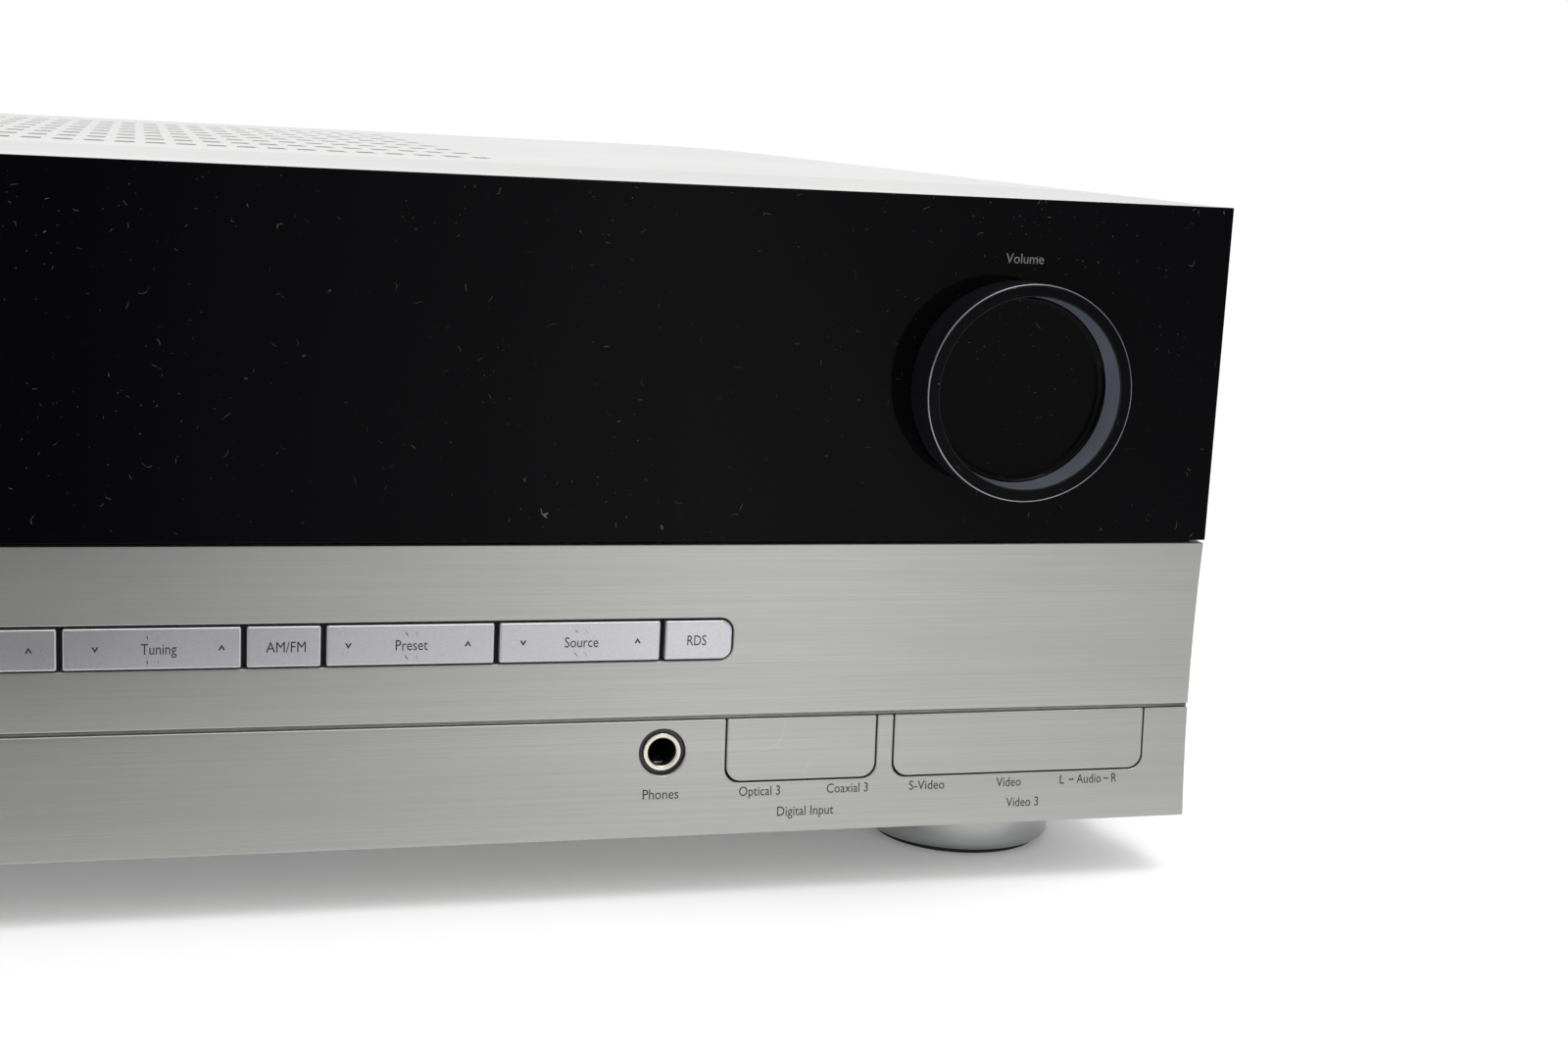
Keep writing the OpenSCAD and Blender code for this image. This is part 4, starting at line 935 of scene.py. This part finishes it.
def front_words():
    """The labels of the knob, the sockets, the power button and the keys."""
    printed("volume_label", [word("Volume", 162.8, 172.2, 150.2)], on_panel, GREY_INK, "case")
    sockets = [
        word("Phones", 82.1, 90.6, 23.9, 2.3), word("Optical 3", 105.2, 115.2, 23.9),
        word("Coaxial 3", 126.7, 137.0, 23.9), word("S-Video", 147.4, 156.4, 23.9),
        word("Video", 169.8, 176.2, 23.9), word("L", 186.5, 187.7, 24.0), stroke(188.8, 190.2, 24.85),
        word("Audio", 190.9, 197.4, 24.0), stroke(198.1, 199.4, 24.85), word("R", 200.2, 201.6, 24.0),
        word("Digital Input", 114.6, 128.5, 18.9), word("Video 3", 172.5, 180.9, 18.9),
        word("Power", -193.6, -186.4, 47.4),
    ]
    printed("socket_labels", sockets, on_band, DARK_INK, "case")
    key_words = {
        "key_surround": ("Surr.", -95.4, -89.4, []),
        "key_mode": ("Mode", -67.9, -61.8, arrows(-77.9, -52.0)),
        "key_tuning": ("Tuning", -29.2, -21.8, arrows(-38.6, -12.4)),
        "key_band": ("AM/FM", -3.05, 5.45, []),
        "key_preset": ("Preset", 24.9, 32.0, arrows(14.6, 40.9)),
        "key_source": ("Source", 62.8, 70.5, arrows(53.3, 79.6)),
        "key_rds": ("RDS", 91.3, 95.8, []),
    }
    for key, (text, left, right, signs) in key_words.items():
        face_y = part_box(key)[0].y
        marks = [word(text, left, right, 60.2, 2.35), *signs]
        printed(key + "_label", marks, lambda x, z, y=face_y: np.full_like(x, y), DARK_INK, key)


def rear_words():
    """Plain function words and signs beside the rear sockets."""
    marks = []
    for name in ("cap_a_left_red", "cap_a_right_red", "cap_b_left_red", "cap_b_right_red"):
        x = middle(name)[0] / MM
        side = "L" if "left" in name else "R"
        marks.append(word(side, x - 0.8, x + 0.8, 81.5, 2.6))
    marks += [
        word("Speakers B", -88, -70, 86.5, 2.6), word("Speakers A", -136, -118, 86.5, 2.6),
        word("FM", 178, 183.5, 137.0, 2.6), word("AM", 188.5, 194, 109.5, 2.6),
        word("AC In", -190, -180, 72.5, 2.6), word("Video", 72, 82, 133.2, 2.4),
        word("S-Video", 53, 66, 151.6, 2.2), word("Optical", 104, 115, 151.6, 2.2),
        word("Audio", 73, 83, 69.8, 2.2), word("Multi", 74, 82, 108.6, 2.2),
    ]
    for i in range(6):
        x = 42 + 15 * i
        marks.append(word(str(6 - i), x - 0.8, x + 0.8, 34.2, 2.2))
    for z, side in ((43, "R"), (61, "L"), (83, "R"), (101, "L")):
        marks.append(word(side, 126.5, 128.1, z - 1, 2.2))
    printed("rear_labels", marks, on_rear, WHITE_INK, "case", from_behind=True)


volume_knob()
phones_socket()
groove_strip()
feet()
screws()
phono_sockets("front_phono", "front_rca_shells", "front_rca_inserts", 1, front_colour,
              (ORANGE, YELLOW, WHITE, RED_INSERT))
phono_sockets("rear_phono", "rear_rca_shells", "rear_rca_inserts", -1, rear_colour,
              (WHITE, RED_INSERT, YELLOW))
speaker_caps()
capacitor_cans()
leads()
front_words()
rear_words()

# ---- Floor, light and camera ----


def floor():
    """A plain pale floor: a wide square sheet just under the feet."""
    wide = 6.0
    mesh = bpy.data.meshes.new("floor")
    corners = [(-wide, -wide, 0), (wide, -wide, 0), (wide, wide, 0), (-wide, wide, 0)]
    mesh.from_pydata(corners, [], [(0, 1, 2, 3)])
    obj = bpy.data.objects.new("floor", mesh)
    scene.collection.objects.link(obj)
    glow = {"Emission Strength": 0.12, "Specular IOR Level": 0.1}
    f = Finish("pale_floor", (0.93, 0.93, 0.93), 0.7, **glow)
    f.shader.inputs["Emission Color"].default_value = (1, 1, 1, 1)
    set_finish(obj, f.material)


def shade_card():
    """A dark card low in front, which only reflections see. It fades to clear from x -0.06 to 0.14 metres,
    and part of the way back by 0.36."""
    mesh = bpy.data.meshes.new("shade_card")
    mesh.from_pydata([(-0.9, -0.30, 0.003), (0.9, -0.30, 0.003), (0.9, -0.95, 0.75), (-0.9, -0.95, 0.75)],
                     [], [(0, 1, 2, 3)])
    obj = bpy.data.objects.new("shade_card", mesh)
    scene.collection.objects.link(obj)
    f = Finish("shade_black", (0.0, 0.0, 0.0), 1.0, **{"Specular IOR Level": 0.0})
    clear = f.add("ShaderNodeBsdfTransparent")
    fade_out = f.spread(f.axis("X"), -0.06, 0.14)
    back_in = f.spread(f.axis("X"), 0.14, 0.36, 1.0, 0.3)
    share = f.combine(fade_out, back_in, "MINIMUM")
    mix = f.add("ShaderNodeMixShader", {0: share, 1: f.shader.outputs[0], 2: clear.outputs[0]})
    out = next(n for n in f.tree.nodes if n.type == "OUTPUT_MATERIAL")
    f.tree.links.new(mix.outputs[0], out.inputs["Surface"])
    set_finish(obj, f.material)
    obj.visible_camera = False
    obj.visible_diffuse = False
    obj.visible_shadow = False
    obj.visible_transmission = False


def sky():
    """An even pale surround, brighter overhead and dimmer low down; the camera sees it as plain white."""
    world = bpy.data.worlds.new("surround")
    scene.world = world
    world.use_nodes = True
    tree = world.node_tree
    back = tree.nodes["Background"]
    coord = tree.nodes.new("ShaderNodeTexCoord")
    split = tree.nodes.new("ShaderNodeSeparateXYZ")
    tree.links.new(coord.outputs["Generated"], split.inputs[0])
    rise = tree.nodes.new("ShaderNodeMapRange")
    for key, value in {"From Min": -0.05, "From Max": 0.7, "To Min": 0.62, "To Max": 1.02}.items():
        rise.inputs[key].default_value = value
    tree.links.new(split.outputs["Z"], rise.inputs["Value"])
    path = tree.nodes.new("ShaderNodeLightPath")
    seen = tree.nodes.new("ShaderNodeMix")
    tree.links.new(path.outputs["Is Camera Ray"], seen.inputs[0])
    tree.links.new(rise.outputs[0], seen.inputs[2])
    seen.inputs[3].default_value = 1.0
    tree.links.new(seen.outputs[0], back.inputs["Strength"])
    back.inputs["Color"].default_value = (1.0, 1.0, 1.0, 1.0)


def lamp(name, place, aim, wide, high, power):
    """A soft rectangular light at place, facing aim."""
    data = bpy.data.lights.new(name, "AREA")
    data.shape = "RECTANGLE"
    data.size, data.size_y, data.energy = wide, high, power
    obj = bpy.data.objects.new(name, data)
    scene.collection.objects.link(obj)
    obj.location = place
    obj.rotation_mode = "QUATERNION"
    obj.rotation_quaternion = (Vector(aim) - Vector(place)).to_track_quat("-Z", "Y")


# Lens and sensor width in millimetres, the turn in degrees of yaw to the right, pitch down and roll, and the
# place in millimetres, whose y is counted from the black panel's front
LENS, SENSOR = 50.452, 36.0
CAMERA_TURN = (16.681, 10.404, 3.059)
CAMERA_PLACE = (-29.9, -475.66, 180.64)


def view_from_front():
    """The camera: close, just left of the middle and a little above the top, turned right and down."""
    data = bpy.data.cameras.new("camera")
    data.sensor_width = SENSOR
    data.lens = LENS
    yaw, pitch, roll = np.radians(CAMERA_TURN)
    forward = np.array([math.sin(yaw) * math.cos(pitch), math.cos(yaw) * math.cos(pitch), -math.sin(pitch)])
    level = np.array([math.cos(yaw), -math.sin(yaw), 0.0])
    upward = np.cross(level, forward)
    right = level * math.cos(roll) + upward * math.sin(roll)
    above = -level * math.sin(roll) + upward * math.cos(roll)
    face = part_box("upper_panel")[0].y
    place = np.array(CAMERA_PLACE) * MM + (0, face, 0)
    camera = bpy.data.objects.new("camera", data)
    scene.collection.objects.link(camera)
    turn = Matrix(np.stack([right, above, -forward], 1).tolist()).to_4x4()
    camera.matrix_world = Matrix.Translation(place.tolist()) @ turn
    data.clip_start = 0.01
    scene.camera = camera


floor()
shade_card()
sky()
lamp("overhead", (0.45, -0.42, 1.5), (0.2, -0.1, 0.1), 1.0, 0.6, 8.0)
lamp("left_edge", (-1.3, -0.42, 0.25), (0.0, -0.2, 0.06), 0.5, 0.5, 1.6)
view_from_front()
scene.view_settings.view_transform = "Standard"
